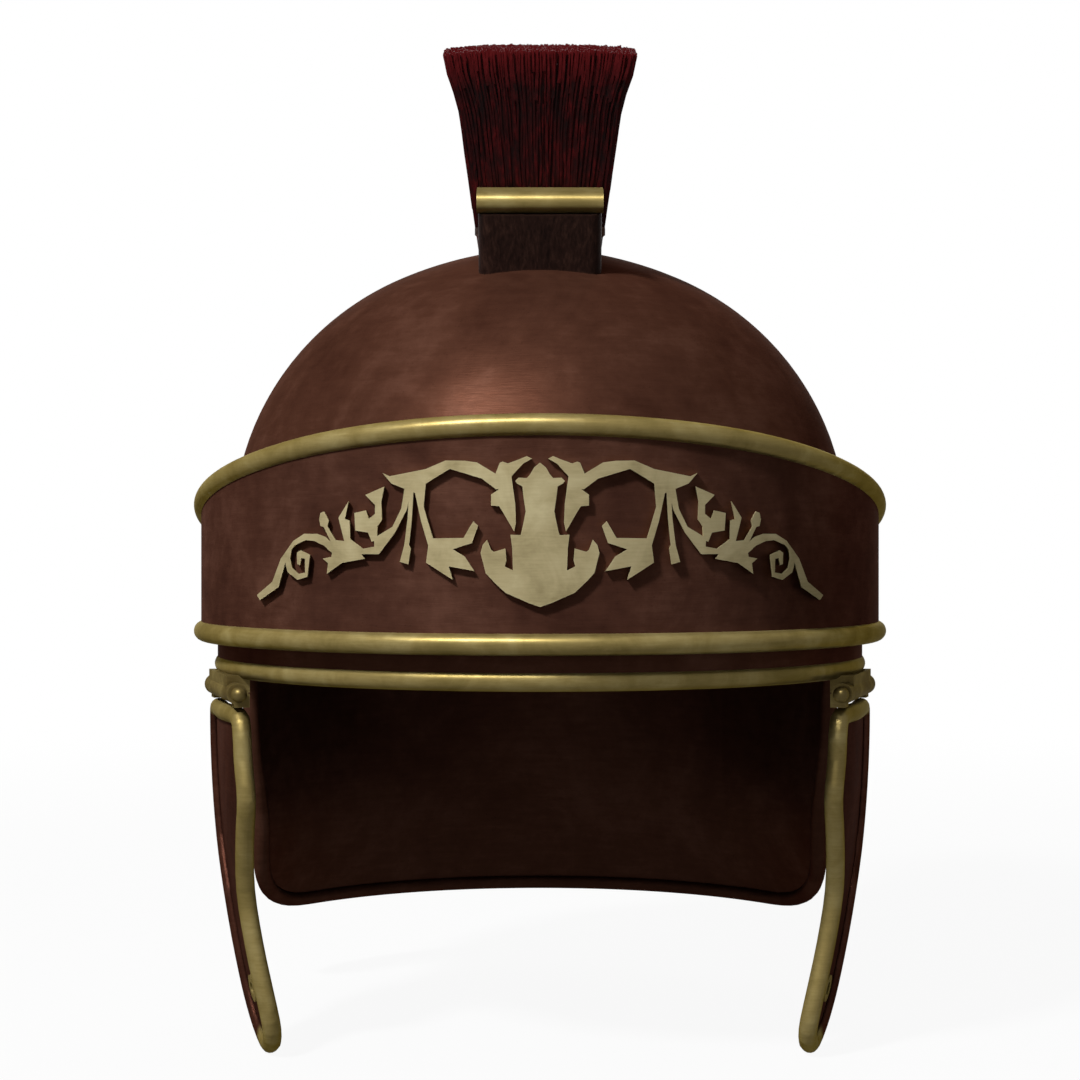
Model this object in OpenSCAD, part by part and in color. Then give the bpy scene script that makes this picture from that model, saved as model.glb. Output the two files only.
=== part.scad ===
// Parade helmet of a Roman general: an oval bowl with a deep nape guard, a brow
// band that stands off the bowl, two hinged cheek guards and a brush crest.
// Millimetres. Z is up, the face looks along -Y, the wearer's left is +X.
// The origin is the seat of the crown of the head, inside the lining.

/* [Bowl] */
// Width of the dome at its shoulder, outside
bowl_w = 197.6; // [190:0.2:202]
// How much longer than wide the helmet is
oval_extra = 24.8; // [16:0.2:32]
// Thickness of the bowl's sheet
bowl_wall = 1.5; // [1.2:0.1:2]
// Radius of the flat arc over the crown
crown_radius = 114.8; // [111:0.1:122]
// Height of the crown above the shoulder line
crown_h = 90; // [87:0.1:94]
// Height of the shoulder line above the rim
shoulder_h = 41.9; // [39:0.1:46]
// How far the collar above the rim stands out from the dome
collar_step = 4.9; // [3.6:0.1:5.2]
// Height of the collar above the rim
collar_h = 23; // [20:0.5:25]
// Height of the slope between collar and dome
collar_slope_h = 8; // [6:0.5:9]

/* [Nape guard] */
// Depth of the nape guard below the rim
nape_depth = 90; // [80:1:104]
// Height of its straight part, below the rim
nape_straight_h = 36; // [28:1:44]
// Radius of the outward sweep below the straight part
nape_flare_radius = 120; // [110:5:200]
// Distance of its front edge behind the middle, at the rim
nape_edge_top = 33; // [28:1:40]
// Distance of its front edge behind the middle, where the sweep begins
nape_edge_mid = 36; // [32:1:40]
// Distance of its front edge behind the middle, at the bottom
nape_edge_low = 62; // [54:1:66]
// Radius of its lower corners
nape_corner_radius = 40; // [30:1:46]
// Radius of its rolled edge
nape_roll_r = 2.85; // [2.6:0.05:3]

/* [Brow band] */
// Gap between dome and band
band_gap = 8.5; // [7.5:0.1:9.5]
// Thickness of the band
band_wall = 1.6; // [1.2:0.1:2]
// Height of the band's lower edge above the rim
band_low_h = 10.3; // [9:0.1:11]
// Height of its upper edge above the rim, at the temples
band_side_h = 46.5; // [44:0.5:50]
// Fall of its upper edge from front to back, in degrees
band_tilt = 11.4; // [9:0.1:12]
// Radius of the rolled edges of band and rim
roll_radius = 3.1; // [2.8:0.1:3.4]
// How far the rim roll's centre lies inside the collar's face
rim_roll_in = 2.2; // [2:0.1:2.4]
// Width of a bracket that carries the band
bracket_w = 12; // [9:0.5:15]
// Height of a bracket
bracket_h = 9; // [7:0.5:10]
// Height of a spacer that carries the band on the collar behind
spacer_h = 4.6; // [4:0.1:4.8]

/* [Ornament] */
// Thickness of the applied ornament
ornament_t = 2; // [1.2:0.1:2.6]
// Height of the ornament's middle above the band's lower edge
ornament_up = 28.7; // [27:0.1:30]
// Radius of the pins behind the ornament
ornament_pin_r = 1; // [0.8:0.1:1.2]

/* [Crest] */
// Half angle from the top to the brush's front end
crest_front = 18.5; // [16:0.5:20]
// Half angle from the top to the brush's back end
crest_back = 25; // [20:0.5:27]
// Radius of the rail's upper side
rail_radius = 182; // [180:0.5:186]
// Height of the crown above the centre of that arc
rail_centre_drop = 174.4; // [172:0.2:176]
// Width of the rail
rail_w = 34; // [28:0.5:36]
// Width of the brush at its backing
brush_base_w = 39.4; // [37:0.2:42]
// Width of the brush at its tips
brush_tip_w = 56; // [50:0.5:60]
// Length of the brush's hair
brush_hair = 54; // [40:1:60]
// Thickness of the brush's backing
brush_back_t = 2.6; // [2:0.1:3.4]
// Rows of tufts along the crest
brush_rows = 42; // [38:1:46]
// Tufts across the crest
brush_across = 9; // [8:1:10]
// Width of the end blocks
block_w = 36.8; // [34:0.2:38]
// Length of an end block along the crest
block_l = 9; // [8:0.5:13]
// Height of the end blocks above the rail
block_up = 8.6; // [7:0.2:12]
// Radius of the end blocks' upright corners
block_corner = 3.5; // [2:0.5:4.5]
// Height of the brass bar on an end block
bar_h = 6.6; // [6:0.2:9]
// Radius of the studs that hold the crest
stud_r = 2; // [1.6:0.1:2.4]

/* [Lining] */
// Air between bowl and padding, room for the rivet heads
pad_gap = 1.6; // [1.5:0.1:2]
// Thickness of the felt padding
pad_t = 6; // [4:0.5:7]
// Thickness of the leather lining
lining_t = 1.5; // [1:0.1:2]
// Height of the padding's lower edge above the rim
lining_low_h = 5; // [5:0.5:8]
// Height of the sweatband
sweat_h = 30; // [24:1:36]
// Thickness of the sweatband
sweat_t = 1.8; // [1.2:0.1:2.2]
// Radius of the small rivets
rivet_r = 1.5; // [1.2:0.1:1.8]
// Radius of a small rivet's head
rivet_head_r = 3; // [2.6:0.1:3.4]
// Height of a small rivet's head
rivet_head_h = 1.2; // [0.8:0.1:1.3]

/* [Cheek hinges] */
// Distance of the pin's middle from the middle plane
hinge_x = 97.3; // [96:0.1:98.4]
// Distance of the pin's middle in front of the middle
hinge_y = 37.2; // [36:0.2:38.4]
// Depth of the pin below the rim
hinge_drop = 7; // [6.8:0.1:7.4]
// Angle between pin and the fore-and-aft line
hinge_turn = 15.1; // [14:0.1:16]
// Radius of the pin
pin_r = 1.5; // [1.2:0.1:1.8]
// Length between the pin's ball ends
pin_l = 59; // [57:0.5:61]
// Radius of the pin's ball ends
ball_r = 2.4; // [2.2:0.1:2.8]
// Outer radius of the hinge's barrels
barrel_r = 3.2; // [2.8:0.1:3.2]
// Length of the middle barrel
barrel_l = 40; // [34:1:43]
// Running clearance round the pin
pin_clear = 0.05; // [0.03:0.01:0.08]
// Clearance between the barrels' ends
end_clear = 0.4; // [0.3:0.1:0.8]

/* [Cheek guards] */
// Thickness of a cheek guard's sheet
cheek_wall = 1.5; // [1.2:0.1:1.8]
// Depth of its upper edge below the pin
cheek_drop = 7; // [6.6:0.1:7.4]
// Radius of its bend over the cheek, seen from above
cheek_plan_radius = 220; // [180:5:300]
// Radius of its bend under the jaw, seen from the front
cheek_jaw_radius = 435; // [400:5:600]
// How far the sheet lies inside the pin
cheek_inset = 1; // [0.5:0.1:1.4]
// Radius of its rolled edge
cheek_roll_r = 2.85; // [2.6:0.05:3]
// Thickness of its leather pad
cheek_pad_t = 2; // [1:0.1:2.6]
// Radius of the hole for the tie
tie_r = 2; // [1.6:0.1:2.4]

/* [Hidden] */
$fn = 96;
far = 600;
fit = 0.05;

bronze = [0.34, 0.20, 0.16];
brass = [0.71, 0.65, 0.47];
leather = [0.36, 0.22, 0.13];
felt = [0.55, 0.49, 0.38];
hair = [0.43, 0.05, 0.07];
dark_wood = [0.20, 0.12, 0.10];

// Heights, all from the seat of the head
crown_z = bowl_wall + pad_gap + pad_t + lining_t;
shoulder_z = crown_z - crown_h;
rim_z = shoulder_z - shoulder_h;
nape_z = rim_z - nape_depth;
flare_z = rim_z - nape_straight_h;
band_low_z = rim_z + band_low_h;
band_side_z = rim_z + band_side_h;
hinge_z = rim_z - hinge_drop;
rail_centre_z = crown_z - rail_centre_drop;

// Half widths, and the oval: four arcs that meet at 45 degrees. Out of the stretches
// closest to the one wanted it has the one whose decimals bring both arcs to one point.
arc_ratio = sqrt(2) / pow(2 * 0.707107 * 0.707107, 1 / 3) - 1;
function arc_miss(k, unit) = abs(k * arc_ratio - round(k * arc_ratio * unit) / unit);
function oval_stretch(extra) = let (
    wanted = round(extra / (2 - sqrt(2)) * 1e4),
    large = wanted * arc_ratio > 1e5,
    unit = large ? 1e4 : 1e5,
    reach = large ? 1000 : 250,
    near = [for (i = [-reach:reach]) [arc_miss((wanted + i) / 1e4, unit), (wanted + i) / 1e4]],
    least = min([for (p = near) p[0]]))
    [for (p = near) if (p[0] == least) p[1]][0];
dome_r = bowl_w / 2;
collar_r = dome_r + collar_step;
band_in = dome_r + band_gap;
band_out = band_in + band_wall;
band_mid = band_in + band_wall / 2;
rim_roll_at = collar_r - rim_roll_in;
stretch = oval_stretch(oval_extra / 2);
end_cut = arc_ratio * stretch;

// The dome's profile: a tight shoulder arc that runs into the flat crown arc
shoulder_radius = (dome_r * dome_r + crown_h * crown_h - 2 * crown_h * crown_radius)
    / (2 * (dome_r - crown_radius));
shoulder_r = dome_r - shoulder_radius;
crown_centre_z = crown_z - crown_radius;
shoulder_at = [shoulder_r, shoulder_z];
crown_at = [0, crown_centre_z];
blend_far = crown_at + 10 * (shoulder_at - crown_at);

// The filled profile of the bowl, taken in by a depth, down to a height
module bowl_profile(depth, low) {
    polygon([
        [0, low], [collar_r - depth, low], [collar_r - depth, rim_z + collar_h],
        [dome_r - depth, rim_z + collar_h + collar_slope_h],
        [dome_r - depth, shoulder_z], shoulder_at, crown_at]);
    intersection() {
        translate(shoulder_at) circle(shoulder_radius - depth, $fn = 192);
        polygon([shoulder_at, [far, shoulder_z], [far, far], blend_far]);
    }
    intersection() {
        translate(crown_at) circle(crown_radius - depth, $fn = 192);
        polygon([crown_at, shoulder_at, blend_far, [0, far]]);
    }
}

// Carries a profile round the oval: two end arcs and two side arcs
module round_oval(extra = oval_extra / 2) {
    k = oval_stretch(extra);
    cut = arc_ratio * k;
    for (turn = [0, 180]) rotate([0, 0, turn]) {
        translate([0, k, 0]) rotate([0, 0, 45]) rotate_extrude(angle = 90)
            intersection() {
                translate([-cut, 0]) children();
                translate([0, -far]) square(2 * far);
            }
        intersection() {
            translate([-k, 0, 0]) rotate([0, 0, -45]) rotate_extrude(angle = 90)
                translate([k, 0]) children();
            translate([0, -far, -far]) cube(2 * far);
        }
    }
}

// Rectangle in the profile plane, between two radii and two heights
module strip(r0, r1, z0, z1) {
    translate([r0, z0]) square([r1 - r0, z1 - z0]);
}

// Sends a shape out along a direction of the oval, at a height
module spoke(angle, z) {
    end = angle > 45 && angle < 135 || angle > 225 && angle < 315;
    side_sign = cos(angle) > 0 ? 1 : -1;
    end_sign = sin(angle) > 0 ? 1 : -1;
    at = end ? [0, end_sign * stretch, z] : [-side_sign * stretch, 0, z];
    inset = end ? -end_cut : stretch;
    translate(at) rotate([0, 0, angle]) translate([inset, 0, 0]) children();
}

// A rivet along +X: head from the start inwards, shank to the end
module rivet(from, to, shank, head_r, head_h) {
    translate([from - head_h, 0, 0]) rotate([0, 90, 0]) cylinder(r = head_r, h = head_h, $fn = 32);
    translate([from - head_h / 2, 0, 0]) rotate([0, 90, 0])
        cylinder(r = shank, h = to - from + head_h / 2, $fn = 32);
}

// A drilled hole along +X
module hole(from, to, r) {
    translate([from, 0, 0]) rotate([0, 90, 0]) cylinder(r = r, h = to - from, $fn = 32);
}

bracket_angles = [210, 270, 330];
spacer_angles = [30, 90, 150];
bracket_z = shoulder_z - bracket_h / 2 - 0.4;
spacer_z = band_low_z + roll_radius + 0.4 + spacer_h / 2;
liner_angles = [15, 65, 115, 165, 195, 245, 295, 345];
liner_rivet_z = rim_z + 17;

// The nape guard's edge from the side, as points [y, z] from the rim to the bottom
edge_start = [nape_edge_top, rim_z];
edge_mid = [nape_edge_mid, flare_z];
edge_dir = [nape_edge_low - nape_edge_mid, nape_z - flare_z];
edge_turn = atan2(edge_dir[0], -edge_dir[1]);
bend_start = edge_mid + 14 * (edge_start - edge_mid) / norm(edge_start - edge_mid);
bend_end = edge_mid + 14 * edge_dir / norm(edge_dir);
nape_bend = [for (i = [0:6]) let (t = i / 6)
    (1 - t) * (1 - t) * bend_start + 2 * t * (1 - t) * edge_mid + t * t * bend_end];
corner_y = nape_edge_low + nape_corner_radius * tan((90 - edge_turn) / 2);
nape_corner = [for (i = [0:12]) let (a = 180 + edge_turn + i * (90 - edge_turn) / 12)
    [corner_y + nape_corner_radius * cos(a), nape_z + nape_corner_radius + nape_corner_radius * sin(a)]];

module nape_side_cut() {
    rotate([90, 0, 90]) translate([0, 0, -far]) linear_extrude(2 * far)
        polygon(concat([[-far, rim_z], edge_start], nape_bend, nape_corner,
            [[far, nape_z], [far, nape_z - far], [-far, nape_z - far]]));
}

module nape_sweep() {
    centre = [collar_r + nape_flare_radius, flare_z];
    round_oval() intersection() {
        translate(centre) difference() {
            circle(nape_flare_radius + bowl_wall, $fn = 192);
            circle(nape_flare_radius, $fn = 192);
        }
        strip(collar_r - bowl_wall - 1, centre[0] - nape_flare_radius / 3, nape_z - 1, flare_z);
    }
}

module skull_bowl() {
    color(bronze) difference() {
        union() {
            round_oval() difference() {
                bowl_profile(0, flare_z);
                bowl_profile(bowl_wall, flare_z - 1);
            }
            nape_sweep();
        }
        nape_side_cut();
        for (a = bracket_angles) spoke(a, bracket_z) hole(dome_r - 9, dome_r + 9, rivet_r + fit);
        for (a = spacer_angles) spoke(a, spacer_z) hole(collar_r - 9, collar_r + 9, rivet_r + fit);
        for (a = liner_angles) spoke(a, liner_rivet_z) hole(collar_r - 9, collar_r + 9, rivet_r + fit);
        crest_stud_places() cylinder(r = stud_r + fit, h = far / 10, center = true, $fn = 32);
    }
}

// Points round the oval: direction of the surface, half width and height
function oval_point(a, r, z) = let (s = sin(a), c = cos(a))
    abs(s) > abs(c) ? [(r - end_cut) * c, (r - end_cut) * s + sign(s) * stretch, z]
    : [(r + stretch) * c - sign(c) * stretch, (r + stretch) * s, z];
flare_mid = nape_flare_radius + bowl_wall / 2;
function flare_out(z) = z > flare_z ? 0 : flare_mid - sqrt(pow(flare_mid, 2) - pow(flare_z - z, 2));
function flare_slope(z) = z > flare_z ? 0 : asin((flare_z - z) / flare_mid);

// The section of a rolled edge: round outside, with a slot that holds the sheet
function roll_section(r, slot) = let (open = asin(slot / r), n = 15) concat(
    [for (i = [0:n - 1]) let (a = -180 + open + i * (360 - 2 * open) / (n - 1)) r * [cos(a), sin(a)]],
    [[0.6, slot], [0.6, -slot]]);

// A roll along points: across each point lie the sheet's normal and the way out of its edge
module roll(points, normals, section, closed) {
    n = len(points);
    m = len(section);
    tangents = [for (i = [0:n - 1])
        let (a = closed ? points[(i + n - 1) % n] : points[max(i - 1, 0)],
             b = closed ? points[(i + 1) % n] : points[min(i + 1, n - 1)])
        (b - a) / norm(b - a)];
    rings = [for (i = [0:n - 1]) let (out = cross(tangents[i], normals[i]), o = out / norm(out))
        for (s = section) points[i] + s[0] * o + s[1] * normals[i]];
    last = closed ? n - 1 : n - 2;
    sides = [for (i = [0:last], j = [0:m - 1])
        let (a = i * m, b = ((i + 1) % n) * m, k = (j + 1) % m)
        each [[a + j, b + k, b + j], [a + j, a + k, b + k]]];
    ends = closed ? [] : [[for (j = [m - 1:-1:0]) j], [for (j = [0:m - 1]) (n - 1) * m + j]];
    polyhedron(rings, concat(sides, ends), convexity = 8);
}

nape_mid = collar_r - bowl_wall / 2;
function nape_angle(y, z) = asin(y / (nape_mid + flare_out(z) + stretch));
roll_start = edge_start + (edge_mid - edge_start) * (roll_radius + 0.4) / nape_straight_h;
nape_half = [for (p = concat(
    [for (i = [0:3]) roll_start + (bend_start - roll_start) * i / 4], nape_bend,
    [for (i = [1:4]) bend_end + (nape_corner[0] - bend_end) * i / 5], nape_corner))
    [nape_angle(p[0], p[1]), p[1]]];
nape_half_n = len(nape_half);
nape_last = nape_half[nape_half_n - 1];
nape_path = concat(nape_half,
    [for (i = [1:47]) [nape_last[0] + (180 - 2 * nape_last[0]) * i / 48, nape_last[1]]],
    [for (i = [nape_half_n - 1:-1:0]) [180 - nape_half[i][0], nape_half[i][1]]]);

module nape_roll() {
    color(bronze) roll(
        [for (p = nape_path) oval_point(p[0], nape_mid + flare_out(p[1]), p[1])],
        [for (p = nape_path) let (s = flare_slope(p[1]))
            [cos(p[0]) * cos(s), sin(p[0]) * cos(s), sin(s)]],
        roll_section(nape_roll_r, bowl_wall / 2 + fit), false);
}

module rim_roll() {
    color(brass) difference() {
        round_oval() translate([rim_roll_at, rim_z]) circle(roll_radius, $fn = 48);
        round_oval() strip(collar_r - bowl_wall, collar_r, rim_z, rim_z + 2 * roll_radius);
        translate([-far, nape_edge_top, -far]) cube(2 * far);
    }
}

// The plane of the brow band's upper edge, which falls to the back. Out of the tilts
// closest to the one wanted it has the one whose sine and cosine have round decimals.
function six(x) = round(x * 1e6) / 1e6;
near_tilts = [for (a = [band_tilt - 0.05:0.0005:band_tilt + 0.05])
    [abs(pow(six(cos(a)), 2) + pow(six(sin(a)), 2) - 1), a]];
least_miss = min([for (t = near_tilts) t[0]]);
tilt = [for (t = near_tilts) if (t[0] == least_miss) t[1]][0];
module band_plane() { translate([0, 0, band_side_z]) rotate([-tilt, 0, 0]) children(); }

module brow_band() {
    color(bronze) difference() {
        round_oval() strip(band_in, band_out, band_low_z, band_side_z + far / 10);
        band_plane() translate([-far, -far, 0]) cube(2 * far);
        ornament_pin_places() hole(-9, 9, ornament_pin_r + fit);
    }
}

module band_top_roll() {
    half_l = (band_mid + oval_extra / 2) / cos(tilt);
    color(brass) difference() {
        band_plane() round_oval(half_l - band_mid)
            translate([band_mid, 0]) circle(roll_radius, $fn = 48);
        intersection() {
            round_oval() strip(band_in, band_out, band_low_z, band_side_z + far / 10);
            band_plane() translate([-far, -far, -far]) cube([2 * far, 2 * far, far]);
        }
    }
}

module band_bottom_roll() {
    color(brass) difference() {
        round_oval() translate([band_mid, band_low_z]) circle(roll_radius, $fn = 48);
        round_oval() strip(band_in, band_out, band_low_z, band_low_z + 2 * roll_radius);
    }
}

module bracket_set(angles, z, inner, high) {
    difference() {
        intersection() {
            round_oval() strip(inner, band_in, z - high / 2, z + high / 2);
            union() for (a = angles) spoke(a, z) translate([inner - 9, -bracket_w / 2, -high])
                cube([band_in - inner + 18, bracket_w, 2 * high]);
        }
        for (a = angles) spoke(a, z) hole(inner - 9, band_in - 1, rivet_r + fit);
    }
}

module band_brackets() {
    color(brass) {
        bracket_set(bracket_angles, bracket_z, dome_r, bracket_h);
        bracket_set(spacer_angles, spacer_z, collar_r, spacer_h);
    }
}

module bracket_rivets() {
    color(brass) {
        for (a = bracket_angles) spoke(a, bracket_z)
            rivet(dome_r - bowl_wall - 0.15, band_in - 1.1, rivet_r, rivet_head_r, rivet_head_h);
        for (a = spacer_angles) spoke(a, spacer_z)
            rivet(collar_r - bowl_wall - 0.15, band_in - 1.1, rivet_r, rivet_head_r, rivet_head_h);
    }
}

// The ornament's outlines: distance from the middle, height above the ornament's middle
emblem_half = [[0, 21.2], [1.6, 19.9], [2.7, 18], [3.6, 17], [5.9, 17.1], [6.8, 16.2], [6.3, 15.5],
    [4.8, 14.7], [4.5, 11.7], [3.9, 7.9], [4.6, 4.3], [5.3, 1.4], [8.1, 1.5], [7.6, -2.3], [7.4, -8.3],
    [9.7, -7.2], [9.2, -5.6], [9.5, -2.3], [12.7, -3.2], [13.4, -2.7], [14.5, 0.1], [15.7, -1.3],
    [16.3, -3.5], [14.9, -9], [12.7, -11.4], [9.5, -14.4], [3.2, -17.2], [0, -18.3]];
ring_leaf = [[2.2, 22.3], [3.6, 23], [6, 22], [8.8, 21], [10.2, 21.5], [11, 21.2], [12.2, 18.2],
    [17.3, 21.3], [20.8, 21.8], [26, 21.9], [31.5, 19.6], [41.7, 17.7], [43.8, 18.7], [41.2, 15.7],
    [37, 14], [34.5, 13], [32.8, 5.2], [30.8, -1.5], [31.4, -6.2], [24, -10.9], [25.1, -7.2],
    [18, -8.5], [20.7, -4.5], [24, -2.5], [18.7, -0.8], [17, 3.9], [18.3, 5.2], [21, 0.6],
    [29.5, 0.5], [32.1, 9.2], [31.5, 15.6], [24.8, 19.6], [16, 16.9], [12, 13.9], [11.2, 14],
    [13.4, 12.5], [13.4, 9.5], [11.2, 9.3], [10.3, 7.9], [7.1, 2.4], [6.6, 4.7], [6.8, 10],
    [7.6, 15.9], [7.8, 17.5], [4.6, 21]];
bud = [[34.9, 14.4], [36.1, 14.4], [36.6, 6], [37.5, -1.2], [38.8, -6], [36.4, -6.7], [35.7, -2.3],
    [36.2, -1.4], [35.4, 6]];
branch = [[36.2, 14.6], [37.4, 14.6], [38.4, 8.7], [40.9, 3.7], [46.2, 0.6], [46.1, -1.8],
    [49.4, -2.4], [53.1, 0.3], [53.3, 5.5], [54.7, 5.9], [53.6, 10.9], [56.6, 6.3], [54.8, -0.5],
    [50.6, -3.9], [44.8, -3.9], [40.2, 2.1], [36.9, 8.3], [36.2, 11]];
flag = [[43.2, 14.9], [48.7, 12.6], [45.9, 9.8], [45.9, 7.3], [47.7, 5.9], [48.5, 8.3], [51.9, 7.6],
    [51.6, 2.7], [47.9, 2.1], [46.9, -0.4], [45.4, 0], [45.2, 3.9], [43.9, 5.7], [44.1, 10.8]];
small_leaf = [[48.9, -5.2], [50.2, -3.4], [54.6, -0.3], [57.4, 0], [59.9, 3.9], [59.5, 5.6],
    [60.9, 8.1], [62, 7.7], [62.4, 5.9], [62, 4], [61, 3.7], [58.9, -0.4], [60, -2.4],
    [58.5, -3.6], [58.7, -4.7], [61.3, -5.2], [59.7, -6.5], [60.1, -9.5], [55.6, -6.4]];
end_curl = [[57.8, -1.4], [60.5, 0.9], [63.2, 1.8], [67, 1.8], [70.4, -0.2], [74.4, -5.3],
    [77.2, -12], [82.4, -16], [81.3, -17.4], [75.2, -13.5], [73.6, -8.6], [73, -6.4], [72.2, -9.2],
    [69.1, -11.3], [66, -10.4], [65.2, -4.2], [68.2, -2.9], [69.3, -3.6], [69.2, -6.8],
    [68.3, -7.1], [67.9, -5.1], [66.8, -5.3], [66.7, -9.2], [68.9, -9.6], [70.8, -7.9],
    [71.4, -5.3], [71, -2.7], [69.9, -1.4], [66.6, 0], [64, -0.2], [60.8, -1.6], [58.6, -3.4]];
ornament_z = band_low_z + ornament_up;
emblem_pins = [[0, 10], [0, -12]];
scroll_pins = [[9.6, 12], [27, -3.8], [35.4, 16.2], [44.4, -0.6], [56.6, -3.2]];

// Lays an outline, given as heights over distances, on the face of the band
module on_band() {
    intersection() {
        round_oval() strip(band_out, band_out + ornament_t, ornament_z - 20, ornament_z + 25);
        translate([0, 0, ornament_z]) rotate([90, 0, 0]) linear_extrude(far / 2) children();
    }
}

module pin_places(places, side) {
    for (p = places) spoke(270 + side * asin(p[0] / (band_mid - end_cut)), ornament_z + p[1])
        translate([band_mid, 0, 0]) children();
}

module ornament_pin_places() {
    pin_places(emblem_pins, 1) children();
    pin_places(scroll_pins, 1) children();
    pin_places(scroll_pins, -1) children();
}

module pin_bore() { hole(0, band_wall / 2 + 0.6 * ornament_t + 0.1, ornament_pin_r + fit); }

module centre_emblem() {
    color(brass) difference() {
        on_band() polygon(concat(emblem_half,
            [for (i = [len(emblem_half) - 2:-1:1]) [-emblem_half[i][0], emblem_half[i][1]]]));
        pin_places(emblem_pins, 1) pin_bore();
    }
}

module scroll(side) {
    color(brass) difference() {
        on_band() for (shape = [ring_leaf, bud, branch, flag, small_leaf, end_curl])
            polygon([for (p = shape) [side * p[0], p[1]]]);
        pin_places(scroll_pins, side) pin_bore();
    }
}

module ornament_pins() {
    color(brass) ornament_pin_places()
        rivet(-band_wall / 2 - 0.05, band_wall / 2 + 0.6 * ornament_t, ornament_pin_r, 2 * ornament_pin_r, 0.8);
}

// The crest follows an arc in the middle plane: angles run from the top, forward positive
crest_offset = stretch - end_cut;
crest_under = rail_radius - 22;
function crest_rho(a) = let (dz = crown_centre_z - rail_centre_z,
    b = crest_offset * sin(abs(a)) + dz * cos(a))
    b + sqrt(pow(crown_radius, 2) - pow(crest_offset, 2) - dz * dz + b * b);
module crest_turn(a) { translate([0, 0, rail_centre_z]) rotate([a, 0, 0]) children(); }

// The dome's top as the rail sees it, and its shoulder as the end blocks see it
module crown_seat() {
    translate([0, 0, crown_centre_z + fit]) {
        rotate([90, 0, 0]) cylinder(r = crown_radius, h = 2 * crest_offset, center = true, $fn = 192);
        for (s = [-1, 1]) translate([0, s * crest_offset, 0]) sphere(crown_radius, $fn = 192);
    }
}

module shoulder_seat(turn) {
    rotate([0, 0, turn]) translate([0, stretch, fit]) rotate_extrude($fn = 192) intersection() {
        translate([shoulder_r - end_cut, shoulder_z]) circle(shoulder_radius, $fn = 192);
        translate([0, -far]) square(2 * far);
    }
}

stud_angles = [12, -3, -18];
module crest_stud_places() {
    for (a = stud_angles) crest_turn(a) translate([0, 0, crest_rho(a)]) children();
}

module crest_rail() {
    color(dark_wood) difference() {
        intersection() {
            translate([0, 0, rail_centre_z]) rotate([0, 90, 0])
                cylinder(r = rail_radius, h = rail_w, center = true, $fn = 192);
            translate([-rail_w, 0, rail_centre_z]) rotate([90, 0, 90]) linear_extrude(2 * rail_w)
                polygon([for (e = [[-crest_front, crest_under], [-crest_front, far], [0, 1.2 * far],
                    [crest_back, far], [crest_back, crest_under]]) e[1] * [sin(e[0]), cos(e[0])]]);
        }
        crown_seat();
        for (a = stud_angles) crest_turn(a) translate([0, 0, crest_rho(a) - 9])
            cylinder(r = stud_r + fit, h = rail_radius - 1.4 - crest_rho(a) + 9, $fn = 32);
    }
}

module crest_studs() {
    color(brass) for (a = stud_angles) crest_turn(a) {
        translate([0, 0, crest_rho(a) - bowl_wall - 1.3]) cylinder(r = 2 * stud_r, h = 0.9, $fn = 32);
        translate([0, 0, crest_rho(a) - bowl_wall - 0.8])
            cylinder(r = stud_r, h = rail_radius - 1.5 - crest_rho(a) + bowl_wall + 0.8, $fn = 32);
    }
}

// An end block stands on the bowl beyond the brush, its outer upright corners rounded
module end_block() {
    translate([0, -0.2, crest_under]) linear_extrude(rail_radius + block_up - crest_under) {
        translate([block_corner - block_w / 2, -block_l]) square([block_w - 2 * block_corner, block_l]);
        translate([-block_w / 2, block_corner - block_l]) square([block_w, block_l - block_corner]);
        for (s = [-1, 1]) translate([s * (block_w / 2 - block_corner), block_corner - block_l])
            circle(block_corner, $fn = 48);
    }
}

module end_bar() {
    long = block_w + 0.8;
    deep = block_l + 0.6 - bar_h / 2;
    translate([-long / 2, -deep, rail_radius + block_up]) cube([long, deep - 0.2, bar_h]);
    translate([0, -deep, rail_radius + block_up + bar_h / 2]) rotate([0, 90, 0])
        cylinder(r = bar_h / 2, h = long, center = true, $fn = 48);
}

module crest_front_block() {
    color(dark_wood) difference() {
        crest_turn(crest_front) end_block();
        shoulder_seat(180);
    }
}

module crest_rear_block() {
    color(dark_wood) difference() {
        crest_turn(-crest_back) rotate([0, 0, 180]) end_block();
        shoulder_seat(0);
    }
}

module crest_front_bar() { color(brass) crest_turn(crest_front) end_bar(); }
module crest_rear_bar() { color(brass) crest_turn(-crest_back) rotate([0, 0, 180]) end_bar(); }

// The brush: a slice of backing with a tapering tuft on every cell of its grid
brush_low = rail_radius + 0.2;
brush_root = brush_low + brush_back_t;
brush_tip = brush_root + brush_hair;
function brush_point(u, v, r, w) = let (a = crest_front - (crest_front + crest_back) * u / brush_rows)
    [w * (v / brush_across - 0.5), -r * sin(a), rail_centre_z + r * cos(a)];
function tip_r(i, j) = let (v = 2 * (j + 0.5) / brush_across - 1)
    brush_tip - 2.3 * pow(v, 4) + 0.8 * sin(137 * i + 71 * j + 40 * i * j);

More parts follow.
